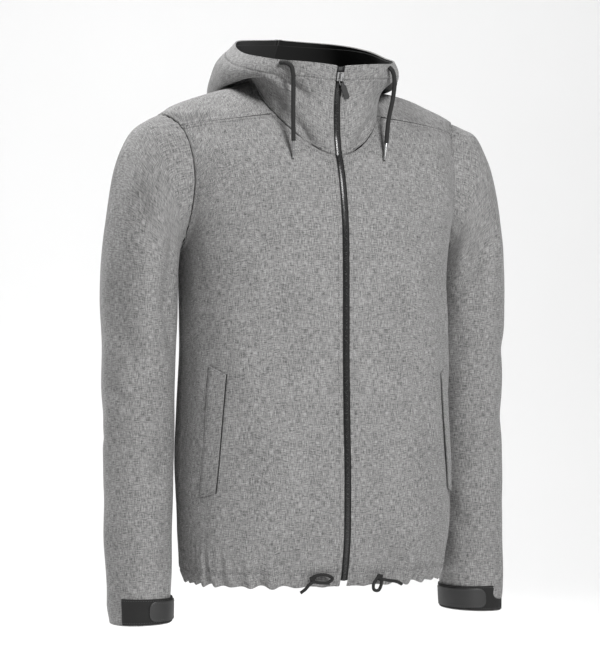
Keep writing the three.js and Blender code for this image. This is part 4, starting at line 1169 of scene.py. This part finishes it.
@dataclass
class Hood:
    """One half of the hood with its stand, and its lining."""

    side: Side
    folds: tuple[Fold, ...]
    creases: tuple[Fold, ...]
    channel: float = 21.0
    seed: int = 70

    def build(self) -> Cloth:
        """Make the half and its lining.

        Returns:
            The outer cloth.
        """
        form = HoodForm(self.folds + self.creases)
        zip_turn = math.degrees(math.asin(ZIP_EDGE / NECK["half"]))
        turn = zip_turn + (180 - zip_turn) * close_to_edges(110, 300)
        way = close_to_edges(130, 420)
        grid = form.surface(turn[None], way[:, None])
        grid[:, -1, 0] = 0.02
        mirror = (self.side.sign, 1, 1)
        side = self.side.value
        cloth = Cloth(f"hood_{side}", grid * mirror, (330, 430), outward=self.side.sign, held="folded")
        zip_edge, spine = cloth.from_edge(1, 0), cloth.from_edge(1, 1)
        neck, rim = cloth.from_edge(0, 0), cloth.from_edge(0, 1)
        wear = 1.1 * drape(cloth.grid, self.seed, (45, 45, 45)) + 0.5 * drape(cloth.grid, self.seed + 1, (18, 18, 22))
        move = wear * smooth(np.minimum(np.minimum(zip_edge, spine), np.minimum(neck, rim)) / 24)
        move += seam_relief(neck, valley=0.7) + seam_relief(spine) + 0.3 * pucker(neck, zip_edge, 2.1)
        move -= 0.7 * bell(rim, self.channel, 1.3) + 0.5 * bell(zip_edge, 0, 1.3)
        plain = cloth.grid.copy()
        cloth.move(move)
        cloth.grid[:, -1, 0] = plain[:, -1, 0]
        cloth.reach(0, 0)
        cloth.build([f"hood_{side}"])
        inner = Cloth(f"hood_lining_{side}", plain, (320, 410), wall=LINING_WALL, outward=self.side.sign, face=Finish.FLEECE,
                      backing=Finish.FLEECE, held="folded")
        depth = inner.normals() * (WALL + 0.9)
        columns = turn >= 13.3
        columns[-1] = True
        rows = (way >= 0.05) & (way <= 0.985)
        inner.grid = (plain - depth)[rows][:, columns]
        inner.grid[:, -1, 0] = plain[0, -1, 0]
        inner.build([f"hood_lining_{side}"])
        sewing = Stitching(f"topstitch_hood_{side}")
        for axis, end, inset in ((0, 1, self.channel), (0, 0, 6.5), (1, 0, 7.0), (1, 1, 5.5)):
            sewing.add(*cloth.line(axis, end, inset))
        sewing.build()
        return cloth


@dataclass
class Pocket:
    """A slanted hand pocket: a raised welt beside its opening, whose shadow is painted as a thin black strip."""

    side: Side
    open_top_x: float = 155.0
    open_bottom_x: float = 168.0
    top_z: float = -381.0
    bottom_z: float = -540.0
    width: float = 27.0
    top_rise: float = 12.0
    bottom_rise: float = 6.0
    wall: float = 1.3

    def aside(self, turn: Array, z: Array, distance: Array) -> Array:
        """The turn at that distance towards the side seam."""
        start = BODY.base(turn, z)
        low, high = turn - 40, turn.copy()
        for _ in range(30):
            middle = (low + high) / 2
            near = np.linalg.norm(BODY.base(middle, z) - start, axis=-1) < distance
            high, low = np.where(near, middle, high), np.where(near, low, middle)
        return low

    def build(self) -> None:
        """Make the welt, its stitching and a black strip of painted shadow along the opening."""
        t = close_to_edges(60, 165, (0.6, 1.4, 2.4, 3.4))[:, None]
        across = close_to_edges(10, self.width, (0.6, 1.4, 2.4, 3.4))[None]
        z = self.bottom_z + (self.top_z - self.bottom_z) * t + 0 * across
        inner = BODY.turn_at_x(1.0, z) * 0
        for i, share in enumerate(t[:, 0]):
            x = self.open_bottom_x + (self.open_top_x - self.open_bottom_x) * share
            inner[i] = BODY.turn_at_x(x, z[i, :1])
        turn = self.aside(inner, z, self.width * across + 0.01)
        height = z + across * (-self.bottom_rise + (self.top_rise + self.bottom_rise) * t)
        normals = normal_of(BODY.surface, turn, height, 0.3, -0.6)
        side = self.side.value
        face = BODY.surface(turn, height) + normals * (self.wall + 0.5)
        mirror = (self.side.sign, 1, 1)
        # columns run from the opening to the side seam, which is to the wearer's left on the left front
        welt = Cloth(f"welt_{side}", face * mirror, (30, 180), wall=self.wall, outward=self.side.sign, backing=Finish.MELANGE)
        rim = np.minimum(np.minimum(welt.from_edge(0, 0), welt.from_edge(0, 1)), welt.from_edge(1, 1))
        lip = welt.from_edge(1, 0)
        welt.move(0.5 * bell(lip, 2.0, 3.0) - 0.6 * bell(rim, 0, 0.9) - 0.35 * bell(rim, 2.6, 0.7))
        welt.build([f"welt_{side}"])
        sewing = Stitching(f"topstitch_pocket_{side}")
        for axis, end in ((0, 0), (0, 1), (1, 1)):
            sewing.add(*welt.line(axis, end, 2.6))
        sewing.build()
        # painted shadow: a thin black fleece strip laid just over the cloth along the opening stands for the shade in
        # the pocket's mouth
        gap = BODY.surface(inner[:, 0] + 0.55, z[:, 0]) * mirror
        edge = BODY.surface(inner[:, 0] + 0.02, z[:, 0]) * mirror
        out = normal_of(BODY.surface, inner[:, 0], z[:, 0], 0.3, -0.6) * mirror
        strip = np.stack([gap + out * 0.75, (gap + edge) / 2 + out * 0.7, edge + out * 0.75], 1)
        Cloth(f"pocket_mouth_{side}", strip, (2.6, 165),
              wall=0.3, outward=self.side.sign, face=Finish.FLEECE).build()


# Zip, cords and their fittings


def spline(points: Array, count: int, closed: bool = False) -> Array:
    """Evenly timed points on a centripetal spline through points."""
    pts = np.asarray(points, float)
    if closed:
        pts = np.concatenate([pts[-1:], pts, pts[:2]])
    else:
        pts = np.concatenate([2 * pts[:1] - pts[1:2], pts, 2 * pts[-1:] - pts[-2:-1]])
    place = np.linspace(0, len(pts) - 3, count, endpoint=not closed)
    i = np.clip(place.astype(int), 0, len(pts) - 4)
    t = (place - i)[:, None]
    p0, p1, p2, p3 = pts[i], pts[i + 1], pts[i + 2], pts[i + 3]
    return between(p0, p1, p2, p3, t)


def cord_curve(name: str, points: Array, radius: float, replaces: Sequence[str]) -> bpy.types.Object:
    """A round cord as a curve of one open spline.

    Args:
        name: The piece's name.
        points: Its middle line in millimetres.
        radius: Its radius in millimetres.
        replaces: The solids that it stands for.

    Returns:
        The object.
    """
    curve = bpy.data.curves.new(name, "CURVE")
    curve.dimensions = "3D"
    curve.bevel_depth = radius * MM
    curve.bevel_resolution = 4
    curve.resolution_u = 6
    curve.use_fill_caps = True
    strand = curve.splines.new("NURBS")
    strand.points.add(len(points) - 1)
    for target, point in zip(strand.points, points):
        target.co = (*(point * MM), 1.0)
    strand.order_u = 3
    strand.use_endpoint_u = True
    curve.materials.append(Finish.CORD.material())
    made = bpy.data.objects.new(name, curve)
    bpy.context.scene.collection.objects.link(made)
    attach(made, JACKET)
    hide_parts(*replaces)
    log.info("made %s with %d points", name, len(points))
    return made


def sweep(path: Array, radii: Array, sides: int = 20) -> tuple[Array, list[Sequence[int]]]:
    """A round solid along a path, closed at both ends.

    Args:
        path: Its middle line, of shape (n, 3).
        radii: Its radius at each point.
        sides: Its number of sides.

    Returns:
        Vertices and faces.
    """
    along = unit(np.gradient(path, axis=0))
    aside = np.cross(along[0], (0.3, 0.9, 0.2))
    turns = np.linspace(0, 2 * math.pi, sides, endpoint=False)
    rings = []
    for at, way, radius in zip(path, along, radii):
        aside = unit(aside - way * (aside @ way))
        other = np.cross(way, aside)
        rings.append(at + radius * (np.cos(turns)[:, None] * aside + np.sin(turns)[:, None] * other))
    faces: list[Sequence[int]] = []
    for r in range(len(path) - 1):
        faces += [(r * sides + k, r * sides + (k + 1) % sides, (r + 1) * sides + (k + 1) % sides, (r + 1) * sides + k)
                  for k in range(sides)]
    faces += [tuple(range(sides))[::-1], tuple(range((len(path) - 1) * sides, len(path) * sides))]
    return np.concatenate(rings), faces


@dataclass
class HoodCord:
    """A drawcord out of its eyelet in the hood's edge, with its clear tip."""

    side: Side
    folds: tuple[Fold, ...]
    exit_turn: float
    path: tuple[Triple, ...]
    radius: float = 3.0

    def build(self) -> None:
        """Make the cord and its tip."""
        form = HoodForm(self.folds)
        turn, way = np.array([self.exit_turn]), np.array([0.93])
        mirror = np.array((self.side.sign, 1, 1))
        out = normal_of(form.surface, turn, way, 0.6, 0.006)[0] * mirror
        face = form.surface(turn, way)[0] * mirror
        start = face + out * (self.radius + 0.12)
        points = spline(np.array([start, *self.path]), 30)
        length = float(np.linalg.norm(np.diff(spline(np.array([start, *self.path]), 300), axis=0), axis=1).sum())
        side = self.side.value
        cord = cord_curve(f"hood_drawcord_{side}", points, self.radius, [f"hood_cord_{side}"])
        way_on = unit(points[-1] - points[-2])
        at = np.array([0.4, 0.7, 1.4, 3.0, 12.0, 20.0, 22.4, 22.9, 23.4])
        radii = np.array([1.75, 2.1, 2.2, 2.2, 2.05, 1.95, 1.85, 1.6, 1.0])
        vertices, faces = sweep(points[-1] + at[:, None] * way_on, radii)
        tip = mesh_object(f"clear_tip_{side}", vertices, faces, (Finish.TIP,), replaces=[f"cord_tip_{side}"])
        tuple(start * MM)
        2 * self.radius * MM


@dataclass
class HemCord:
    """One end of the hem's drawcord, knotted over its eyelet."""

    side: Side
    knot_at: tuple[float, float]
    route: tuple[Triple, ...]
    radius: float = 2.2
    knot_radius: float = 6.0

    def build(self) -> None:
        """Make the cord and its knot."""
        x, z = self.knot_at
        turn = BODY.turn_at_x(abs(x), np.array([z]))
        y = float(BODY.surface(turn, np.array([z]))[0, 1]) - 0.9 * self.knot_radius - 0.75
        middle = np.array((x, y, z))
        points = spline(middle + np.array(self.route), 38)
        length = float(np.linalg.norm(np.diff(spline(middle + np.array(self.route), 400), axis=0), axis=1).sum())
        side = self.side.value
        cord = cord_curve(f"hem_drawcord_{side}", points, self.radius, [f"hem_cord_{side}"])
        t = np.linspace(0, 2 * math.pi, 90, endpoint=False)
        turns = np.stack([np.sin(t) + 2 * np.sin(2 * t), 0.75 * np.sin(3 * t), np.cos(t) - 2 * np.cos(2 * t)], -1)
        path = middle + turns * (1.0, 1.9, 1.05)
        vertices, faces = sweep(np.concatenate([path, path[:1]]), np.full(91, 2.0), 14)
        knot = mesh_object(f"hem_knot_{side}", vertices, faces, (Finish.CORD,))
        tuple(points[0] * MM)
        2 * self.radius * MM


@dataclass
class Zip:
    """The zip, closed up to its slider: coil, tapes, slider, link and pull tab."""

    tape: tuple[float, float] = (0.4, 17.0)
    tape_wall: float = 0.7
    coil_pitch: float = 2.5

    def middle(self, folds: Sequence[Fold], x: float) -> tuple[Array, Array]:
        """The zip's run from the hem to the hood's edge at a distance from the middle.

        Args:
            folds: The folds of the collar's side.
            x: The distance from the middle plane.

        Returns:
            Points and normals.
        """
        zip_turn = math.degrees(math.asin(ZIP_EDGE / NECK["half"]))
        top = float(neck_point(np.array(zip_turn))[2])
        z = np.linspace(HEM_Z + 7, top, 260)
        turn = BODY.turn_at_x(max(x, 0.02), z)
        body, out = BODY.surface(turn, z), normal_of(BODY.surface, turn, z, 0.3, -0.6)
        form = HoodForm(folds)
        way = np.linspace(0.0, 0.985, 150)[2:]
        turn = np.degrees(np.arcsin(max(x, 0.02) / (NECK["half"]))) + 0 * way
        collar, face = form.surface(turn, way), normal_of(form.surface, turn, np.clip(way, 0.006, 0.994), 0.6, 0.006)
        return np.concatenate([body, collar]), np.concatenate([out, face])

    def tapes(self) -> None:
        """The two woven tapes."""
        for side in Side:
            folds = tuple(f.mirrored() for f in COLLAR_FOLDS) if side is Side.RIGHT else COLLAR_FOLDS
            columns = []
            for x in (self.tape[0], 1.5, 3.0, 5.0, 8.0, 12.0, self.tape[1]):
                points, out = self.middle(folds, x)
                columns.append(points - out * UNDER)
            grid = np.stack(columns, 1) * (side.sign, 1, 1)
            Cloth(f"zip_tape_{side.value}", grid, (18, 800), wall=self.tape_wall, outward=side.sign, face=Finish.TAPE,
                  backing=Finish.TAPE).build([f"zip_tape_{side.value}"])

    def coil(self) -> None:
        """The coil's interlocked turns and the cords that they are sewn on with."""
        points, out = self.middle((), 0.02)
        run = np.concatenate([[0], np.cumsum(np.linalg.norm(np.diff(points, axis=0), axis=1))])
        pick = lambda values, s: np.stack([np.interp(s, run, values[:, k]) for k in range(3)], -1)
        head = float(run[np.argmin(np.linalg.norm(points - np.array((0, -131.5, 20.6)), axis=1))])
        vertices: list[Array] = []
        faces: list[Sequence[int]] = []
        profile = np.array([(-2.7, -1.5), (-2.3, -0.5), (-0.5, -0.1), (0.85, -0.3), (1.1, -0.8), (0.7, -1.2), (-0.5, -1.15)])
        for count, s in enumerate(np.arange(1.0, head, self.coil_pitch / 2)):
            flip = 1 if count % 2 else -1
            at, up = pick(points, np.array([s]))[0], unit(pick(out, np.array([s]))[0])
            along = unit(pick(points, np.array([s + 0.5]))[0] - at)
            base = len(vertices)
            for edge in (-0.5, 0.5):
                for k, (x, lift) in enumerate(profile):
                    thick = self.coil_pitch * (0.17 if 2 <= k <= 5 else 0.24)
                    vertices.append(at + np.array((flip * x, 0, 0)) + up * (lift + 0.05) + along * (edge * 2 * thick))
            n = len(profile)
            faces += [tuple(base + k for k in range(n))[::-1], tuple(base + n + k for k in range(n))]
            faces += [(base + k, base + (k + 1) % n, base + n + (k + 1) % n, base + n + k) for k in range(n)]
        grid = np.stack([points - out * 1.75 + (x, 0, 0) for x in (-2.6, -1.0, 1.0, 2.6)], 1)
        plate = len(vertices)
        rows = len(grid)
        vertices += list(grid.reshape(-1, 3))
        faces += [(plate + r * 4 + c, plate + r * 4 + c + 1, plate + r * 4 + c + 5, plate + r * 4 + c + 4)
                  for r in range(rows - 1) for c in range(3)]
        mesh_object("zip_coil", np.array(vertices), faces, (Finish.TEETH,), replaces=["zip_chain"])

    def trim(self, node: str, finish: Finish, body: str, edge: float) -> None:
        """Give a small part's solid softened edges and its finish.

        Args:
            node: The solid.
            finish: Its finish.
            body: The body that carries it.
            edge: The edges' radius in millimetres.
        """
        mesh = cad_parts[node].data.copy()
        mesh.materials.clear()
        mesh.materials.append(finish.material())
        made = bpy.data.objects.new(f"{node}_trim", mesh)
        bpy.context.scene.collection.objects.link(made)
        rounding = made.modifiers.new("edges", "BEVEL")
        rounding.width, rounding.segments, rounding.limit_method = edge * MM, 3, "ANGLE"
        rounding.angle_limit = math.radians(35)
        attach(made, body)
        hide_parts(node)
        log.info("made %s", made.name)

    def build(self) -> None:
        """Make all of the zip."""
        self.tapes()
        self.coil()
        self.trim("zip_slider", Finish.METAL, JACKET, 0.35)
        self.trim("zip_link", Finish.METAL, PULL_BODY, 0.2)
        self.trim("zip_pull", Finish.RUBBER, PULL_BODY, 0.8)


# Studio


@dataclass
class Studio:
    """The camera at the photograph's angle, a pale floor and backdrop, and soft lights."""

    azimuth: float = -20.0
    distance: float = 3.4
    aside: float = -0.0086
    height: float = -0.315
    lens: float = 134.6
    floor_z: float = -0.92

    def camera(self) -> None:
        """Create the scene's camera."""
        turn = math.radians(self.azimuth)
        forward = Vector((-math.sin(turn), math.cos(turn), 0.0))
        right = Vector((math.cos(turn), math.sin(turn), 0.0))
        data = bpy.data.cameras.new("camera")
        data.sensor_fit, data.sensor_height, data.lens = "VERTICAL", 36.0, self.lens
        made = bpy.data.objects.new("camera", data)
        made.location = -forward * self.distance + right * self.aside + Vector((0, 0, self.height))
        made.rotation_euler = (math.radians(90), 0, turn)
        bpy.context.scene.collection.objects.link(made)
        bpy.context.scene.camera = made

    def light(self, name: str, place: Triple, power: float, size: float) -> None:
        """A square soft light that faces the jacket."""
        data = bpy.data.lights.new(name, "AREA")
        data.energy, data.size = power, size
        made = bpy.data.objects.new(name, data)
        made.location = place
        made.rotation_euler = (Vector((0, 0, -0.3)) - Vector(place)).to_track_quat("-Z", "Y").to_euler()
        bpy.context.scene.collection.objects.link(made)

    def backdrop(self) -> None:
        """One pale sheet: a floor that curves up behind."""
        turn = math.radians(self.azimuth)
        forward, right = Vector((-math.sin(turn), math.cos(turn), 0.0)), Vector((math.cos(turn), math.sin(turn), 0.0))
        profile = [(-6.0, 0.0), (2.2, 0.0)]
        profile += [(2.2 + 1.5 * math.sin(a), 1.5 - 1.5 * math.cos(a)) for a in np.linspace(0.1, math.pi / 2, 14)]
        profile += [(3.7, 6.0)]
        vertices = [tuple(forward * y + right * x + Vector((0, 0, self.floor_z + z))) for y, z in profile for x in (-7.0, 7.0)]
        mesh = bpy.data.meshes.new("backdrop")
        mesh.from_pydata(vertices, [], [(2 * i, 2 * i + 1, 2 * i + 3, 2 * i + 2) for i in range(len(profile) - 1)])
        mesh.polygons.foreach_set("use_smooth", np.ones(len(mesh.polygons), bool))
        shader = Shader("backdrop_paint")
        grain = shader.noise(shader.object_place(0.002), 2.0, 0.5)
        mesh.materials.append(shader.finish(Base_Color=shader.blend(grain, grey(0.88), grey(0.91)), Roughness=0.9))
        made = bpy.data.objects.new("backdrop", mesh)
        bpy.context.scene.collection.objects.link(made)

    def build(self) -> None:
        """Make the backdrop and the lights."""
        self.backdrop()
        self.light("key", (0.25, -3.1, 1.7), 158.0, 0.8)
        self.light("wall_wash", (-1.4, 1.4, 2.4), 150.0, 1.6)
        world = bpy.data.worlds.new("studio")
        world.use_nodes = True
        world.node_tree.nodes["Background"].inputs[0].default_value = grey(1.0)
        world.node_tree.nodes["Background"].inputs[1].default_value = 0.1
        bpy.context.scene.world = world
        bpy.context.scene.view_settings.view_transform = "Standard"


@dataclass
class Jacket:
    """The whole jacket."""

    hood_cords: tuple[HoodCord, ...] = (
        HoodCord(Side.RIGHT, tuple(f.mirrored() for f in COLLAR_FOLDS), 47.0, (
            (-74, -126.5, 36), (-69, -131, 31), (-67, -132, 21), (-66, -130, 0), (-66, -129.5, -34), (-66, -130.6, -68))),
        HoodCord(Side.LEFT, COLLAR_FOLDS, 43.0, (
            (79, -127, 30), (82, -126, 16), (80.5, -124, -6), (73.5, -125.5, -36), (68.5, -129.5, -68))),
    )
    hem_cords: tuple[HemCord, ...] = (
        HemCord(Side.RIGHT, (-46.5, -654.5), (
            (0, 0, 3.2), (9, -3, 6), (20, -4, 5), (27, -4, 0.5), (20, -4, -4.5), (9, -3.6, -4.5), (1, -1.5, -3.2),
            (-6, -2.6, -7), (-11, -3, -12), (-18, -2.6, -17))),
        HemCord(Side.LEFT, (50.5, -655.0), (
            (0, 0, 3.2), (-6, -3, -2), (-11, -4, -9), (-10, -4, -16), (-4, -4, -17), (0, -3.6, -11), (3, -1.5, -3.2),
            (12, -2.6, -4.5), (22, -3, -6), (31, -2.6, -10))),
    )

    def build(self) -> None:
        """Make the cords, then the cloth, the pockets and the zip."""
        for cord in (*self.hood_cords, *self.hem_cords):
            cord.build()
        BodyPanels().build()
        for side in Side:
            right = side is Side.RIGHT
            folds, creases = (RIGHT_SLEEVE_FOLDS, RIGHT_CREASES) if right else (LEFT_SLEEVE_FOLDS, LEFT_CREASES)
            Sleeve(side, folds, creases, seed=40 + 7 * right).build()
            on_this_side = lambda runs: tuple(f.mirrored() for f in runs) if right else runs
            Hood(side, on_this_side(COLLAR_FOLDS), on_this_side(COLLAR_CREASES)).build()
            Pocket(side).build()
        Zip().build()


def main() -> None:
    """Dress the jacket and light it."""
    logging.basicConfig(level=logging.INFO, format="%(message)s")
    studio = Studio()
    studio.camera()
    Jacket().build()
    studio.build()


if __name__ == "__main__":
    main()
